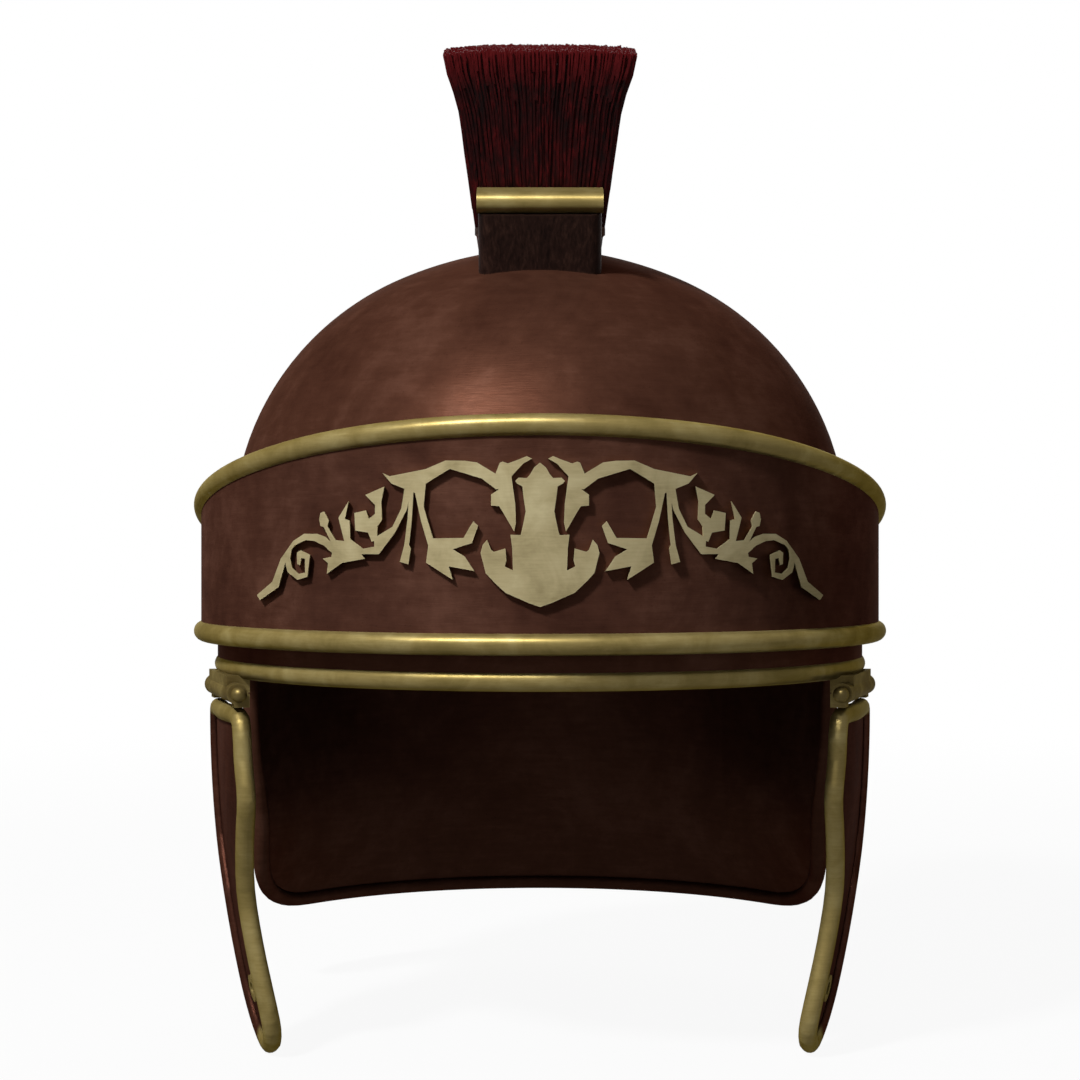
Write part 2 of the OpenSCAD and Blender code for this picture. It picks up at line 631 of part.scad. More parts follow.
module crest_plume() {
    nu = brush_rows;
    nv = brush_across;
    root_gap = 0.07;
    tip_gap = 0.16;
    corners = [[0, 0], [1, 0], [1, 1], [0, 1]];
    back = [for (i = [0:nu], j = [0:nv]) brush_point(i, j, brush_root, brush_base_w)];
    tufts = [for (i = [0:nu - 1], j = [0:nv - 1]) each concat(
        [for (c = corners) let (f = root_gap + c[0] * (1 - 2 * root_gap))
            (1 - f) * brush_point(i, j + root_gap + c[1] * (1 - 2 * root_gap), brush_root, brush_base_w)
            + f * brush_point(i + 1, j + root_gap + c[1] * (1 - 2 * root_gap), brush_root, brush_base_w)],
        [for (c = corners) brush_point(i + tip_gap + c[0] * (1 - 2 * tip_gap),
            j + tip_gap + c[1] * (1 - 2 * tip_gap), tip_r(i, j), brush_tip_w)])];
    under = [for (i = [0:nu], j = [0, nv]) brush_point(i, j, brush_low, brush_base_w)];
    tuft_at = len(back);
    under_at = tuft_at + len(tufts);
    cell_faces = [for (i = [0:nu - 1], j = [0:nv - 1])
        let (t = tuft_at + 8 * (i * nv + j),
             a = [i * (nv + 1) + j, (i + 1) * (nv + 1) + j, (i + 1) * (nv + 1) + j + 1, i * (nv + 1) + j + 1])
        each concat(
            [for (m = [0:3]) let (n = (m + 1) % 4) each [[a[m], a[n], t + n], [a[m], t + n, t + m],
                [t + m, t + n, t + 4 + n], [t + m, t + 4 + n, t + 4 + m]]],
            [[t + 4, t + 5, t + 6], [t + 4, t + 6, t + 7]])];
    side_faces = [for (i = [0:nu - 1])
        let (d = under_at + 2 * i, a = i * (nv + 1), b = a + nv)
        each [[d, d + 2, a + nv + 1], [d, a + nv + 1, a], [d + 1, b, b + nv + 1], [d + 1, b + nv + 1, d + 3],
            [d, d + 1, d + 3], [d, d + 3, d + 2]]];
    last = nu * (nv + 1);
    end_at = under_at + 2 * nu;
    end_faces = concat(
        [for (j = [0:nv - 1]) each [[under_at, j, j + 1], [end_at, last + j + 1, last + j]]],
        [[under_at, nv, under_at + 1], [end_at, end_at + 1, last + nv]]);
    color(hair) polyhedron(concat(back, tufts, under), concat(cell_faces, side_faces, end_faces), convexity = 10);
}

// Lining, from the bowl inwards
pad_out = bowl_wall + pad_gap;
pad_in = pad_out + pad_t;
lining_in = pad_in + lining_t;
sweat_in = lining_in + sweat_t;
lining_low_z = rim_z + lining_low_h;

module layer(outer, inner, low) {
    round_oval() difference() {
        bowl_profile(outer, low);
        bowl_profile(inner, low - 1);
    }
}

module liner_bores() {
    for (a = liner_angles) spoke(a, liner_rivet_z) hole(collar_r - sweat_in - 3, collar_r, rivet_r + fit);
}

module felt_padding() {
    color(felt) difference() {
        layer(pad_out, pad_in, lining_low_z);
        liner_bores();
    }
}

module leather_lining() {
    color(leather) difference() {
        layer(pad_in, lining_in, lining_low_z);
        liner_bores();
    }
}

module sweatband() {
    color(leather) difference() {
        round_oval() intersection() {
            difference() {
                bowl_profile(lining_in, lining_low_z);
                bowl_profile(sweat_in, lining_low_z - 1);
            }
            strip(dome_r / 2, collar_r, lining_low_z, lining_low_z + sweat_h);
        }
        liner_bores();
    }
}

module liner_rivets() {
    color(brass) for (a = liner_angles) spoke(a, liner_rivet_z) {
        rivet(collar_r - sweat_in - 0.15, collar_r + 0.5, rivet_r, rivet_head_r, rivet_head_h);
        hole(collar_r + 0.15, collar_r + 0.15 + rivet_head_h, rivet_head_r);
    }
}

// A hinge's own directions: x away from the head, y backward along the pin, z up
module at_hinge(side) {
    mirror([side > 0 ? 0 : 1, 0, 0])
        translate([hinge_x, -hinge_y, hinge_z]) rotate([0, 0, -hinge_turn]) children();
}

module along_pin(r, from, to) {
    translate([0, from, 0]) rotate([-90, 0, 0]) cylinder(r = r, h = to - from, $fn = 48);
}

module hinge_barrel(side) {
    color(brass) difference() {
        at_hinge(side) difference() {
            union() {
                along_pin(barrel_r, -barrel_l / 2, barrel_l / 2);
                translate([-4.6, -barrel_l / 2, 0]) cube([7.2, barrel_l, 5.2]);
            }
            along_pin(pin_r + pin_clear, -barrel_l, barrel_l);
        }
        round_oval() translate([rim_roll_at, rim_z]) circle(roll_radius + fit, $fn = 48);
    }
}

module hinge_pin(side) {
    color(brass) at_hinge(side) {
        along_pin(pin_r, -pin_l / 2, pin_l / 2);
        for (s = [-1, 1]) translate([0, s * pin_l / 2, 0]) sphere(ball_r, $fn = 48);
    }
}

// A cheek guard's sheet: bent round an upright axis and, with a wide bend, under the jaw
cheek_top = -cheek_drop;
cheek_axis = -cheek_inset - sqrt(pow(cheek_plan_radius, 2) - pow(0.4 * pin_l, 2));
function cheek_r(z) = cheek_plan_radius - cheek_jaw_radius + sqrt(pow(cheek_jaw_radius, 2) - pow(cheek_top - z, 2));
function cheek_tip(z) = asin((cheek_top - z) / cheek_jaw_radius);
function cheek_way(y, z) = asin(y / cheek_r(z));
function cheek_point(y, z) = [cheek_axis + cheek_r(z) * cos(cheek_way(y, z)), y, z];
function cheek_normal(y, z) = let (b = cheek_way(y, z), s = cheek_tip(z)) [cos(b) * cos(s), sin(b) * cos(s), -sin(s)];

// Its outline: distance forward of the pin's middle, depth below the upper edge
cheek_marks = [[-21, 0], [0, 0], [21.5, 0], [26, 4], [27, 13], [28.7, 24.6], [23.5, 37], [17.6, 53],
    [18.5, 69], [21, 85], [20.5, 95], [12.5, 101], [3.5, 97], [-3, 88], [-6.5, 77], [-13, 57],
    [-21.5, 41], [-24.5, 24], [-25.5, 8], [-24.5, 2.5]];
cheek_edge = [for (p = cheek_marks) [-p[0], cheek_top - p[1]]];
function smooth(m, i, t) = let (n = len(m), a = m[(i + n - 1) % n], b = m[i], c = m[(i + 1) % n], d = m[(i + 2) % n])
    0.5 * (2 * b + (c - a) * t + (2 * a - 5 * b + 4 * c - d) * t * t + (3 * b - a - 3 * c + d) * t * t * t);
function loop(m) = [for (i = [0:len(m) - 1], t = [0, 1 / 3, 2 / 3]) smooth(m, i, t)];
cheek_outline = loop(cheek_edge);

// The pad's outline lies inside the rolled edge and cuts across the two upper corners
pad_inset = cheek_roll_r + 1.95;
pad_outline = loop([for (i = [0:len(cheek_edge) - 1]) if (i != 3 && i != len(cheek_edge) - 1)
    let (n = len(cheek_edge), t = cheek_edge[(i + 1) % n] - cheek_edge[(i + n - 1) % n])
    cheek_edge[i] + pad_inset * [-t[1], t[0]] / norm(t)]);

module cheek_layer(outer, inner, outline) {
    intersection() {
        translate([cheek_axis, 0, 0]) rotate_extrude($fn = 192) intersection() {
            translate([cheek_plan_radius - cheek_jaw_radius, cheek_top]) difference() {
                circle(cheek_jaw_radius - outer, $fn = 192);
                circle(cheek_jaw_radius - inner, $fn = 192);
            }
            strip(cheek_plan_radius - 60, cheek_plan_radius + 5, cheek_top - 140, cheek_top + 5);
        }
        rotate([90, 0, 90]) translate([0, 0, cheek_axis / 2]) linear_extrude(far / 2) polygon(outline);
    }
}

eyelet_y = -10;
eyelet_z = cheek_top - 84;
module at_eyelet() {
    translate(cheek_point(eyelet_y, eyelet_z)) rotate([0, cheek_tip(eyelet_z), cheek_way(eyelet_y, eyelet_z)])
        children();
}

module cheek_plate(side) {
    color(bronze) at_hinge(side) difference() {
        cheek_layer(-cheek_wall / 2, cheek_wall / 2, cheek_outline);
        at_eyelet() hole(-9, 9, tie_r + 0.9 + fit);
    }
}

module cheek_pad(side) {
    color(leather) at_hinge(side) difference() {
        cheek_layer(cheek_wall / 2, cheek_wall / 2 + cheek_pad_t, pad_outline);
        at_eyelet() hole(-9, 9, tie_r + 0.9 + fit);
    }
}

module cheek_roll(side) {
    color(brass) at_hinge(side) roll([for (p = cheek_outline) cheek_point(p[0], p[1])],
        [for (p = cheek_outline) cheek_normal(p[0], p[1])],
        roll_section(cheek_roll_r, cheek_wall / 2 + fit), true);
}

module cheek_knuckles(side) {
    color(brass) at_hinge(side) for (s = [-1, 1]) difference() {
        union() {
            inner_end = barrel_l / 2 + end_clear;
            outer_end = pin_l / 2 - ball_r - 0.3;
            along_pin(barrel_r, s > 0 ? inner_end : -outer_end, s > 0 ? outer_end : -inner_end);
            translate([-3.6, s > 0 ? inner_end : -outer_end, 0.05 + cheek_roll_r - cheek_drop])
                cube([4.6, outer_end - inner_end, cheek_drop - cheek_roll_r - 0.05]);
        }
        along_pin(pin_r + pin_clear, -pin_l, pin_l);
    }
}

module tie_eyelet(side) {
    inside = -cheek_wall / 2 - cheek_pad_t - 0.1;
    outside = cheek_wall / 2 + 0.1;
    color(brass) at_hinge(side) at_eyelet() difference() {
        union() {
            hole(inside - 0.4, outside + 0.4, tie_r + 0.9);
            hole(inside - 0.7, inside, tie_r + 2.2);
            hole(outside, outside + 0.7, tie_r + 2.2);
        }
        hole(-9, 9, tie_r);
    }
}

skull_bowl();
nape_roll();
rim_roll();
brow_band();
band_top_roll();
band_bottom_roll();
band_brackets();
bracket_rivets();
centre_emblem();
scroll(1);  // scroll_left
scroll(-1);  // scroll_right
ornament_pins();
crest_rail();
crest_plume();
crest_front_block();
crest_front_bar();
crest_rear_block();
crest_rear_bar();
crest_studs();
felt_padding();
leather_lining();
sweatband();
liner_rivets();
hinge_barrel(1);  // hinge_barrel_left
hinge_barrel(-1);  // hinge_barrel_right
hinge_pin(1);  // hinge_pin_left
hinge_pin(-1);  // hinge_pin_right
cheek_plate(1);  // cheek_plate_left
cheek_plate(-1);  // cheek_plate_right
cheek_roll(1);  // cheek_roll_left
cheek_roll(-1);  // cheek_roll_right
cheek_knuckles(1);  // cheek_knuckles_left
cheek_knuckles(-1);  // cheek_knuckles_right
cheek_pad(1);  // cheek_pad_left
cheek_pad(-1);  // cheek_pad_right
tie_eyelet(1);  // tie_eyelet_left
tie_eyelet(-1);  // tie_eyelet_right
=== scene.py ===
"""Roman general's parade helmet: looks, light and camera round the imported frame."""
import math

import bmesh
import bpy
import numpy as np
from mathutils import Matrix, Vector
from mathutils.geometry import delaunay_2d_cdt


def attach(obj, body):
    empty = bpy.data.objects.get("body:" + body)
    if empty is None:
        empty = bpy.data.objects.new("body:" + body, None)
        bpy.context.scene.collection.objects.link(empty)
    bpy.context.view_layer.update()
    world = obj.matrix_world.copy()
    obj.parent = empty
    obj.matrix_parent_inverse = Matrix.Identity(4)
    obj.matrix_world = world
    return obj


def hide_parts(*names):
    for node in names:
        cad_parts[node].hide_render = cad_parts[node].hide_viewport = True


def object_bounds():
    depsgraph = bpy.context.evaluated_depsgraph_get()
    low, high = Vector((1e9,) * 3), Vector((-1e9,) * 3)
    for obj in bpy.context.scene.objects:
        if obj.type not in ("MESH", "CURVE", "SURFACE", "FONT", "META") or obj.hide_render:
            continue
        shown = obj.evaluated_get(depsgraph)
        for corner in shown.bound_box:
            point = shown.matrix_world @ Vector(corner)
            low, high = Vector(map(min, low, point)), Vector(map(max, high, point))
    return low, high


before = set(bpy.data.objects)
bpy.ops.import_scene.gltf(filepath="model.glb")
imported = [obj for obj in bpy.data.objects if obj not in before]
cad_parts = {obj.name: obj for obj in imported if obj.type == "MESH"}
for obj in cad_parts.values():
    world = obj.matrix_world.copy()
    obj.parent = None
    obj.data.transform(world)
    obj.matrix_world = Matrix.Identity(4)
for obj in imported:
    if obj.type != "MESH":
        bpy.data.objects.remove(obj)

CAD_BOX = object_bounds()
MM = 0.001
TAU = 2 * math.pi

# Sizes of the CAD model, in millimetres and degrees.
# The bowl: heights, how far its collar and the slope on that reach above the rim, half widths,
# and the two arcs of its profile as radius and centre
CROWN_Z, SHOULDER_Z, RIM_Z = 10.6, -79.4, -121.3
COLLAR_H, SLOPE_TOP_H = 23, 31
DOME_R, COLLAR_R = 98.8, 103.7
CROWN_RADIUS, SHOULDER_RADIUS = 114.8, 87.58
CROWN_CENTRE = (0.0, CROWN_Z - CROWN_RADIUS)
SHOULDER_CENTRE = (DOME_R - SHOULDER_RADIUS, SHOULDER_Z)
# The oval in plan has four arcs, their centres STRETCH from the middle. The radius of a side is
# STRETCH more than the half width, and that of an end is END_CUT less
STRETCH, END_CUT = 21.159, 8.764
# The low edge of everything inside the bowl
LOW_Z = RIM_Z + 5
# The crest's arc: its centre, the angles of its ends, and the brush's radii
CREST_CENTRE_Z = -163.8
CREST_FRONT, CREST_BACK = 18.5, 25.0
BRUSH_LOW, BRUSH_ROOT, BRUSH_TIP = 182.2, 184.8, 238.8
# The left cheek guard: the middle of its hinge's axis, the axis's turn, and the top edge from it
HINGE = (97.3, -37.2, -128.3)
HINGE_TURN = 15.1
CHEEK_TOP = -7.0


# ---------------------------------------------------------------- camera

def make_camera():
    data = bpy.data.cameras.new("photo_camera")
    data.lens = 79.53
    data.sensor_width = 36
    data.clip_start = 0.02
    data.clip_end = 60
    camera = bpy.data.objects.new("photo_camera", data)
    camera.location = (0.0, -0.776, -0.08226)
    camera.rotation_euler = (math.pi / 2, 0, 0)
    bpy.context.scene.collection.objects.link(camera)
    bpy.context.scene.camera = camera


# ---------------------------------------------------------------- materials

def linear(red, green, blue):
    """The colour that Blender needs for one written as 0 to 255."""
    def one(value):
        value = value / 255
        return value / 12.92 if value <= 0.04045 else ((value + 0.055) / 1.055) ** 2.4
    return (one(red), one(green), one(blue), 1)


def tones(*colours):
    return tuple(linear(*colour) for colour in colours)


class Shade:
    """A material and short ways to add its nodes."""

    def __init__(self, name):
        self.material = bpy.data.materials.new(name)
        self.material.use_nodes = True
        self.tree = self.material.node_tree
        self.shader = self.tree.nodes["Principled BSDF"]
        self.place = self.tree.nodes.new("ShaderNodeTexCoord").outputs["Object"]

    def set(self, **values):
        for name, value in values.items():
            self.shader.inputs[name.replace("_", " ")].default_value = value

    def feed(self, socket, value):
        if isinstance(value, bpy.types.NodeSocket):
            self.tree.links.new(value, socket)
        else:
            socket.default_value = value

    def stretched(self, scale, turn=(0, 0, 0), move=(0, 0, 0)):
        node = self.tree.nodes.new("ShaderNodeMapping")
        node.inputs["Location"].default_value = move
        node.inputs["Scale"].default_value = scale
        node.inputs["Rotation"].default_value = turn
        self.tree.links.new(self.place, node.inputs["Vector"])
        return node.outputs["Vector"]

    def noise(self, scale, detail=4, rough=0.55, warp=0.0, vector=None):
        node = self.tree.nodes.new("ShaderNodeTexNoise")
        node.inputs["Scale"].default_value = scale
        node.inputs["Detail"].default_value = detail
        node.inputs["Roughness"].default_value = rough
        node.inputs["Distortion"].default_value = warp
        self.tree.links.new(vector or self.place, node.inputs["Vector"])
        return node.outputs["Fac"]

    def cells(self, scale):
        node = self.tree.nodes.new("ShaderNodeTexVoronoi")
        node.inputs["Scale"].default_value = scale
        self.tree.links.new(self.place, node.inputs["Vector"])
        return node.outputs["Distance"]

    def ramp(self, value, *stops):
        node = self.tree.nodes.new("ShaderNodeValToRGB")
        points = node.color_ramp.elements
        while len(points) < len(stops):
            points.new(0.5)
        for point, (place, colour) in zip(points, stops):
            point.position = place
            point.color = colour if isinstance(colour, tuple) else (colour, colour, colour, 1)
        self.tree.links.new(value, node.inputs["Fac"])
        return node.outputs["Color"]

    def math(self, kind, first, second=0.0, third=0.0):
        node = self.tree.nodes.new("ShaderNodeMath")
        node.operation = kind
        for socket, value in zip(node.inputs, (first, second, third)):
            self.feed(socket, value)
        return node.outputs["Value"]

    def mix(self, share, first, second, kind="MIX"):
        node = self.tree.nodes.new("ShaderNodeMix")
        node.data_type = "RGBA"
        node.blend_type = kind
        self.feed(node.inputs["Factor"], share)
        self.feed(node.inputs[6], first)
        self.feed(node.inputs[7], second)
        return node.outputs[2]

    def fade(self, value, low, high, start=0.0, kind="SMOOTHSTEP"):
        """From start, where the value is low, to 1, where it is high."""
        node = self.tree.nodes.new("ShaderNodeMapRange")
        node.interpolation_type = kind
        node.inputs["From Min"].default_value = low
        node.inputs["From Max"].default_value = high
        node.inputs["To Min"].default_value = start
        self.tree.links.new(value, node.inputs["Value"])
        return node.outputs["Result"]

    def length(self, vector):
        node = self.tree.nodes.new("ShaderNodeVectorMath")
        node.operation = "LENGTH"
        self.tree.links.new(vector, node.inputs[0])
        return node.outputs["Value"]

    def rounded(self, radius, samples):
        """The surface's direction, evened out over a radius."""
        bevel = self.tree.nodes.new("ShaderNodeBevel")
        bevel.samples = samples
        bevel.inputs["Radius"].default_value = radius
        return bevel.outputs["Normal"]

    def edges(self, radius):
        """1 on sharp edges, 0 on the flat."""
        flat = self.tree.nodes.new("ShaderNodeNewGeometry")
        dot = self.tree.nodes.new("ShaderNodeVectorMath")
        dot.operation = "DOT_PRODUCT"
        self.tree.links.new(self.rounded(radius, 4), dot.inputs[0])
        self.tree.links.new(flat.outputs["Normal"], dot.inputs[1])
        return self.fade(self.math("SUBTRACT", 1.0, dot.outputs["Value"]), 0.02, 0.25)

    def bump(self, height, strength, distance, soft=0.0):
        """Fine relief. Where soft is a radius, the facets under it are evened out."""
        node = self.tree.nodes.new("ShaderNodeBump")
        node.inputs["Strength"].default_value = strength
        node.inputs["Distance"].default_value = distance
        self.tree.links.new(height, node.inputs["Height"])
        if soft:
            self.tree.links.new(self.rounded(soft, 6), node.inputs["Normal"])
        return node.outputs["Normal"]

    def finish(self, colour, rough, normal):
        for name, value in (("Base Color", colour), ("Roughness", rough), ("Normal", normal)):
            self.tree.links.new(value, self.shader.inputs[name])
        return self.material


def bronze(name, dark, mid, light, streak_turn, soft=0.0):
    """Browned bronze sheet: cloudy patina, fine brushing, small pits."""
    s = Shade(name)
    cloud = s.noise(26, 6, 0.62, 0.6)
    spots = s.noise(150, 5, 0.6)
    brushed = s.noise(8, 5, 0.7, 0.35, s.stretched((9, 9, 70), streak_turn))
    fine = s.noise(14, 3, 0.6, 0.0, s.stretched((14, 14, 190), streak_turn))
    tone = s.math("MULTIPLY_ADD", spots, 0.25, s.math("MULTIPLY", cloud, 0.6))
    tone = s.math("MULTIPLY_ADD", brushed, 0.2, tone)
    colour = s.ramp(tone, (0.36, dark), (0.53, mid), (0.70, light))
    grime = s.ramp(s.cells(420), (0.0, 0.55), (0.16, 1.0))
    colour = s.mix(0.5, colour, grime, "MULTIPLY")
    rough = s.ramp(s.math("MULTIPLY_ADD", fine, 0.5, s.math("MULTIPLY", spots, 0.5)),
                   (0.35, 0.36), (0.65, 0.50))
    height = s.math("MULTIPLY_ADD", spots, 0.6, fine)
    s.set(Metallic=0.15, Specular_IOR_Level=0.0, Specular_Tint=linear(150, 130, 120))
    return s.finish(colour, rough, s.bump(height, 0.22, 0.0002, soft))


def rear_share(s):
    """1 on the rear edge of a cheek guard, 0 on its top and front, from where the point lies."""
    split = s.tree.nodes.new("ShaderNodeSeparateXYZ")
    s.tree.links.new(s.place, split.inputs["Vector"])
    turn = math.radians(HINGE_TURN)
    across = s.math("MULTIPLY_ADD", s.math("ABSOLUTE", split.outputs["X"]), math.sin(turn),
                    -HINGE[0] * MM * math.sin(turn))
    back = s.math("MULTIPLY_ADD", split.outputs["Y"], math.cos(turn),
                  -HINGE[1] * MM * math.cos(turn))
    back = s.math("ADD", across, back)
    depth = s.math("SUBTRACT", (HINGE[2] + CHEEK_TOP) * MM, split.outputs["Z"])
    edge = s.math("MINIMUM", s.math("MULTIPLY_ADD", depth, 2.0, -0.027),
                  s.math("MULTIPLY_ADD", depth, 0.21, -0.0127))
    return s.fade(s.math("ADD", back, edge), -0.001, 0.0015)


def brass(name, dark, mid, light, metal=0.3, rough=(0.32, 0.42), rear=None, soft=0.0):
    """Pale satin brass with faint tarnish in patches and polished edges."""
    s = Shade(name)
    cloud = s.noise(60, 5, 0.6, 0.5)
    brushed = s.noise(11, 4, 0.65, 0.0, s.stretched((14, 14, 160), (0, 0.2, 0)))
    pits = s.noise(900, 2, 0.5)
    tone = s.math("MULTIPLY_ADD", brushed, 0.2, s.math("MULTIPLY", cloud, 0.8))
    colour = s.ramp(tone, (0.34, dark), (0.50, mid), (0.68, light))
    colour = s.mix(s.math("MULTIPLY", s.edges(0.0007), 0.5), colour, light)
    if rear:
        brown = s.ramp(tone, (0.34, rear[0]), (0.50, rear[1]), (0.68, rear[2]))
        colour = s.mix(rear_share(s), colour, brown)
    rough_map = s.ramp(s.math("MULTIPLY_ADD", pits, 0.4, s.math("MULTIPLY", brushed, 0.6)),
                       (0.35, rough[0]), (0.65, rough[1]))
    height = s.math("MULTIPLY_ADD", pits, 0.35, brushed)
    s.set(Metallic=metal, Specular_IOR_Level=0.0, Specular_Tint=linear(170, 158, 118))
    return s.finish(colour, rough_map, s.bump(height, 0.12, 0.0001, soft))


def wood(name):
    """Nearly black stained wood, its grain upright."""
    s = Shade(name)
    grain = s.noise(10, 5, 0.65, 1.1, s.stretched((38, 38, 5)))
    pores = s.noise(30, 3, 0.6, 0.0, s.stretched((46, 46, 4)))
    tone = s.math("MULTIPLY_ADD", pores, 0.4, s.math("MULTIPLY", grain, 0.6))
    colour = s.ramp(tone, (0.36, linear(26, 15, 12)), (0.52, linear(46, 29, 24)),
                    (0.68, linear(68, 46, 38)))
    colour = s.mix(s.math("MULTIPLY", s.edges(0.0010), 0.4), colour, linear(80, 56, 46))
    rough = s.ramp(pores, (0.3, 0.42), (0.7, 0.62))
    s.set(Specular_IOR_Level=0.03)
    return s.finish(colour, rough, s.bump(tone, 0.4, 0.0004))


def hide(name, dark, mid, light, sheen=0.1):
    """Leather: pebbled grain, creases, darker wear in patches."""
    s = Shade(name)
    pebble = s.cells(620)
    crease = s.noise(150, 6, 0.65, 1.4)
    patch = s.noise(24, 4, 0.6)
    tone = s.math("MULTIPLY_ADD", crease, 0.4, s.math("MULTIPLY", patch, 0.6))
    colour = s.ramp(tone, (0.38, dark), (0.52, mid), (0.66, light))
    colour = s.mix(0.45, colour, s.ramp(pebble, (0.0, 1.0), (0.5, 0.62)), "MULTIPLY")
    rough = s.ramp(s.math("ADD", s.math("MULTIPLY", pebble, 0.5), s.math("MULTIPLY", patch, 0.5)),
                   (0.3, 0.48), (0.8, 0.68))
    height = s.math("SUBTRACT", s.math("MULTIPLY", crease, 0.6), pebble)
    s.set(Specular_IOR_Level=0.4, Sheen_Weight=sheen)
    return s.finish(colour, rough, s.bump(height, 0.5, 0.0005))


def felt_cloth(name):
    """Pressed wool: tangled fibres, flecks of darker wool."""
    s = Shade(name)
    fibre = s.noise(700, 6, 0.8, 2.5)
    fleck = s.noise(260, 3, 0.6)
    patch = s.noise(30, 3, 0.5)
    tone = s.math("MULTIPLY_ADD", fibre, 0.5, s.math("MULTIPLY", patch, 0.5))
    colour = s.ramp(tone, (0.36, linear(98, 86, 66)), (0.5, linear(140, 126, 98)),
                    (0.64, linear(176, 162, 130)))
    colour = s.mix(s.ramp(fleck, (0.60, 0.0), (0.68, 0.6)), colour, linear(70, 58, 44))
    rough = s.ramp(fibre, (0.3, 0.85), (0.7, 0.98))
    s.set(Specular_IOR_Level=0.15, Sheen_Weight=0.4, Sheen_Roughness=0.5)
    return s.finish(colour, rough, s.bump(fibre, 0.7, 0.0008))


def horsehair(name, dark, mid, light, tip_highlight):
    """Dyed horsehair: each hair its own red, its ends at the top of the brush painted lighter as a
    highlight where the light falls.
    """
    s = Shade(name)
    strand = s.noise(10, 2, 0.5, 0.0, s.stretched((95, 95, 4)))
    lock = s.noise(9, 3, 0.55, 0.0, s.stretched((26, 26, 3)))
    tone = s.math("MULTIPLY_ADD", lock, 0.45, s.math("MULTIPLY", strand, 0.55))
    colour = s.ramp(tone, (0.36, dark), (0.52, mid), (0.70, light))
    # Painted highlight: over the top 9 mm of the brush the red fades to the last, lighter colour,
    # which is light painted on the hair ends.
    reach = s.length(s.stretched((0, 1, 1), move=(0, 0, -CREST_CENTRE_Z * MM)))
    height = s.math("MULTIPLY_ADD", strand, 0.006, reach)
    tip = s.fade(height, (BRUSH_TIP - 9.0) * MM, (BRUSH_TIP + 1.0) * MM, kind="LINEAR")
    colour = s.mix(tip, colour, tip_highlight)
    rough = s.ramp(strand, (0.3, 0.38), (0.7, 0.60))
    s.set(Specular_IOR_Level=0.06)
    return s.finish(colour, rough, s.bump(strand, 0.5, 0.0006))


def thread(name):
    """Waxed linen thread, twisted."""
    s = Shade(name)
    twist = s.noise(1500, 3, 0.6)
    colour = s.ramp(twist, (0.35, linear(150, 128, 88)), (0.65, linear(206, 188, 146)))
    return s.finish(colour, s.ramp(twist, (0.3, 0.55), (0.7, 0.75)), s.bump(twist, 0.5, 0.0002))


DOME_TONES = tones((66, 39, 29), (80, 50, 38), (98, 65, 52))
DOME_STREAKS = (0.35, 0.5, 0)
CHEEK_TONES = tones((50, 28, 21), (68, 40, 31), (88, 56, 45))
BRASS_TONES = tones((124, 108, 62), (144, 127, 78), (166, 150, 100))
ROLL_SOFT = 0.0016
MATERIALS = {
    "dome": bronze("bronze_dome", *DOME_TONES, DOME_STREAKS),
    "band": bronze("bronze_band", *tones((62, 37, 29), (82, 52, 41), (104, 70, 57)), (0, 0.08, 0)),
    "cheek": bronze("bronze_cheek", *CHEEK_TONES, (1.2, 0.3, 0)),
    "trim": brass("brass_trim", *BRASS_TONES),
    "cheek_trim": brass("brass_cheek_trim", *BRASS_TONES, rear=CHEEK_TONES, soft=ROLL_SOFT),
    "rear_trim": bronze("bronze_roll", *DOME_TONES, DOME_STREAKS, ROLL_SOFT),
    "ornament": brass("brass_ornament", *tones((160, 146, 106), (188, 173, 131), (208, 195, 152)),
                      metal=0.15, rough=(0.34, 0.46)),
    "rivet": brass("brass_rivet", *BRASS_TONES, rough=(0.24, 0.34)),
    "hinge": brass("brass_hinge", *tones((86, 72, 40), (108, 93, 55), (146, 130, 84))),
    "wood": wood("stained_wood"),
    "lining": hide("leather_lining_hide", *tones((48, 27, 17), (84, 50, 31), (118, 76, 48))),
    "sweat": hide("sweatband_hide", *tones((66, 38, 23), (108, 67, 41), (146, 98, 63)), 0.2),
    "pad": hide("cheek_pad_hide", *tones((58, 32, 20), (94, 57, 35), (130, 84, 54)), 0.2),
    "felt": felt_cloth("pressed_felt"),
    # The last red given to each brush material is a painted highlight for the top of the brush.
    "hair": horsehair("red_horsehair",
                      *tones((18, 2, 2), (48, 6, 7), (86, 13, 16), (108, 22, 25))),
    # The core is the same horsehair in darker reds: painted shade for the inside of the brush.
    "hair_core": horsehair("red_horsehair_core_painted_shade",
                           *tones((14, 1, 2), (30, 3, 6), (52, 7, 10), (60, 9, 12))),
    "thread": thread("linen_thread"),
}

NODE_MATERIALS = {
    "dome": ("skull_bowl",),
    "rear_trim": ("nape_roll",),
    "band": ("brow_band",),
    "cheek": ("cheek_plate_left", "cheek_plate_right"),
    "trim": ("rim_roll", "band_top_roll", "band_bottom_roll", "crest_front_bar", "crest_rear_bar"),
    "cheek_trim": ("cheek_roll_left", "cheek_roll_right"),
    "ornament": ("centre_emblem", "scroll_left", "scroll_right"),
    "rivet": ("bracket_rivets", "ornament_pins", "crest_studs", "liner_rivets", "tie_eyelet_left",
              "tie_eyelet_right"),
    "hinge": ("band_brackets", "hinge_barrel_left", "hinge_barrel_right", "hinge_pin_left",
              "hinge_pin_right", "cheek_knuckles_left", "cheek_knuckles_right"),
    "wood": ("crest_rail", "crest_front_block", "crest_rear_block"),
}


def dress_nodes():
    for key, names in NODE_MATERIALS.items():
        for name in names:
            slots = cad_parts[name].data.materials
            slots.clear()
            slots.append(MATERIALS[key])


# ---------------------------------------------------------------- meshes

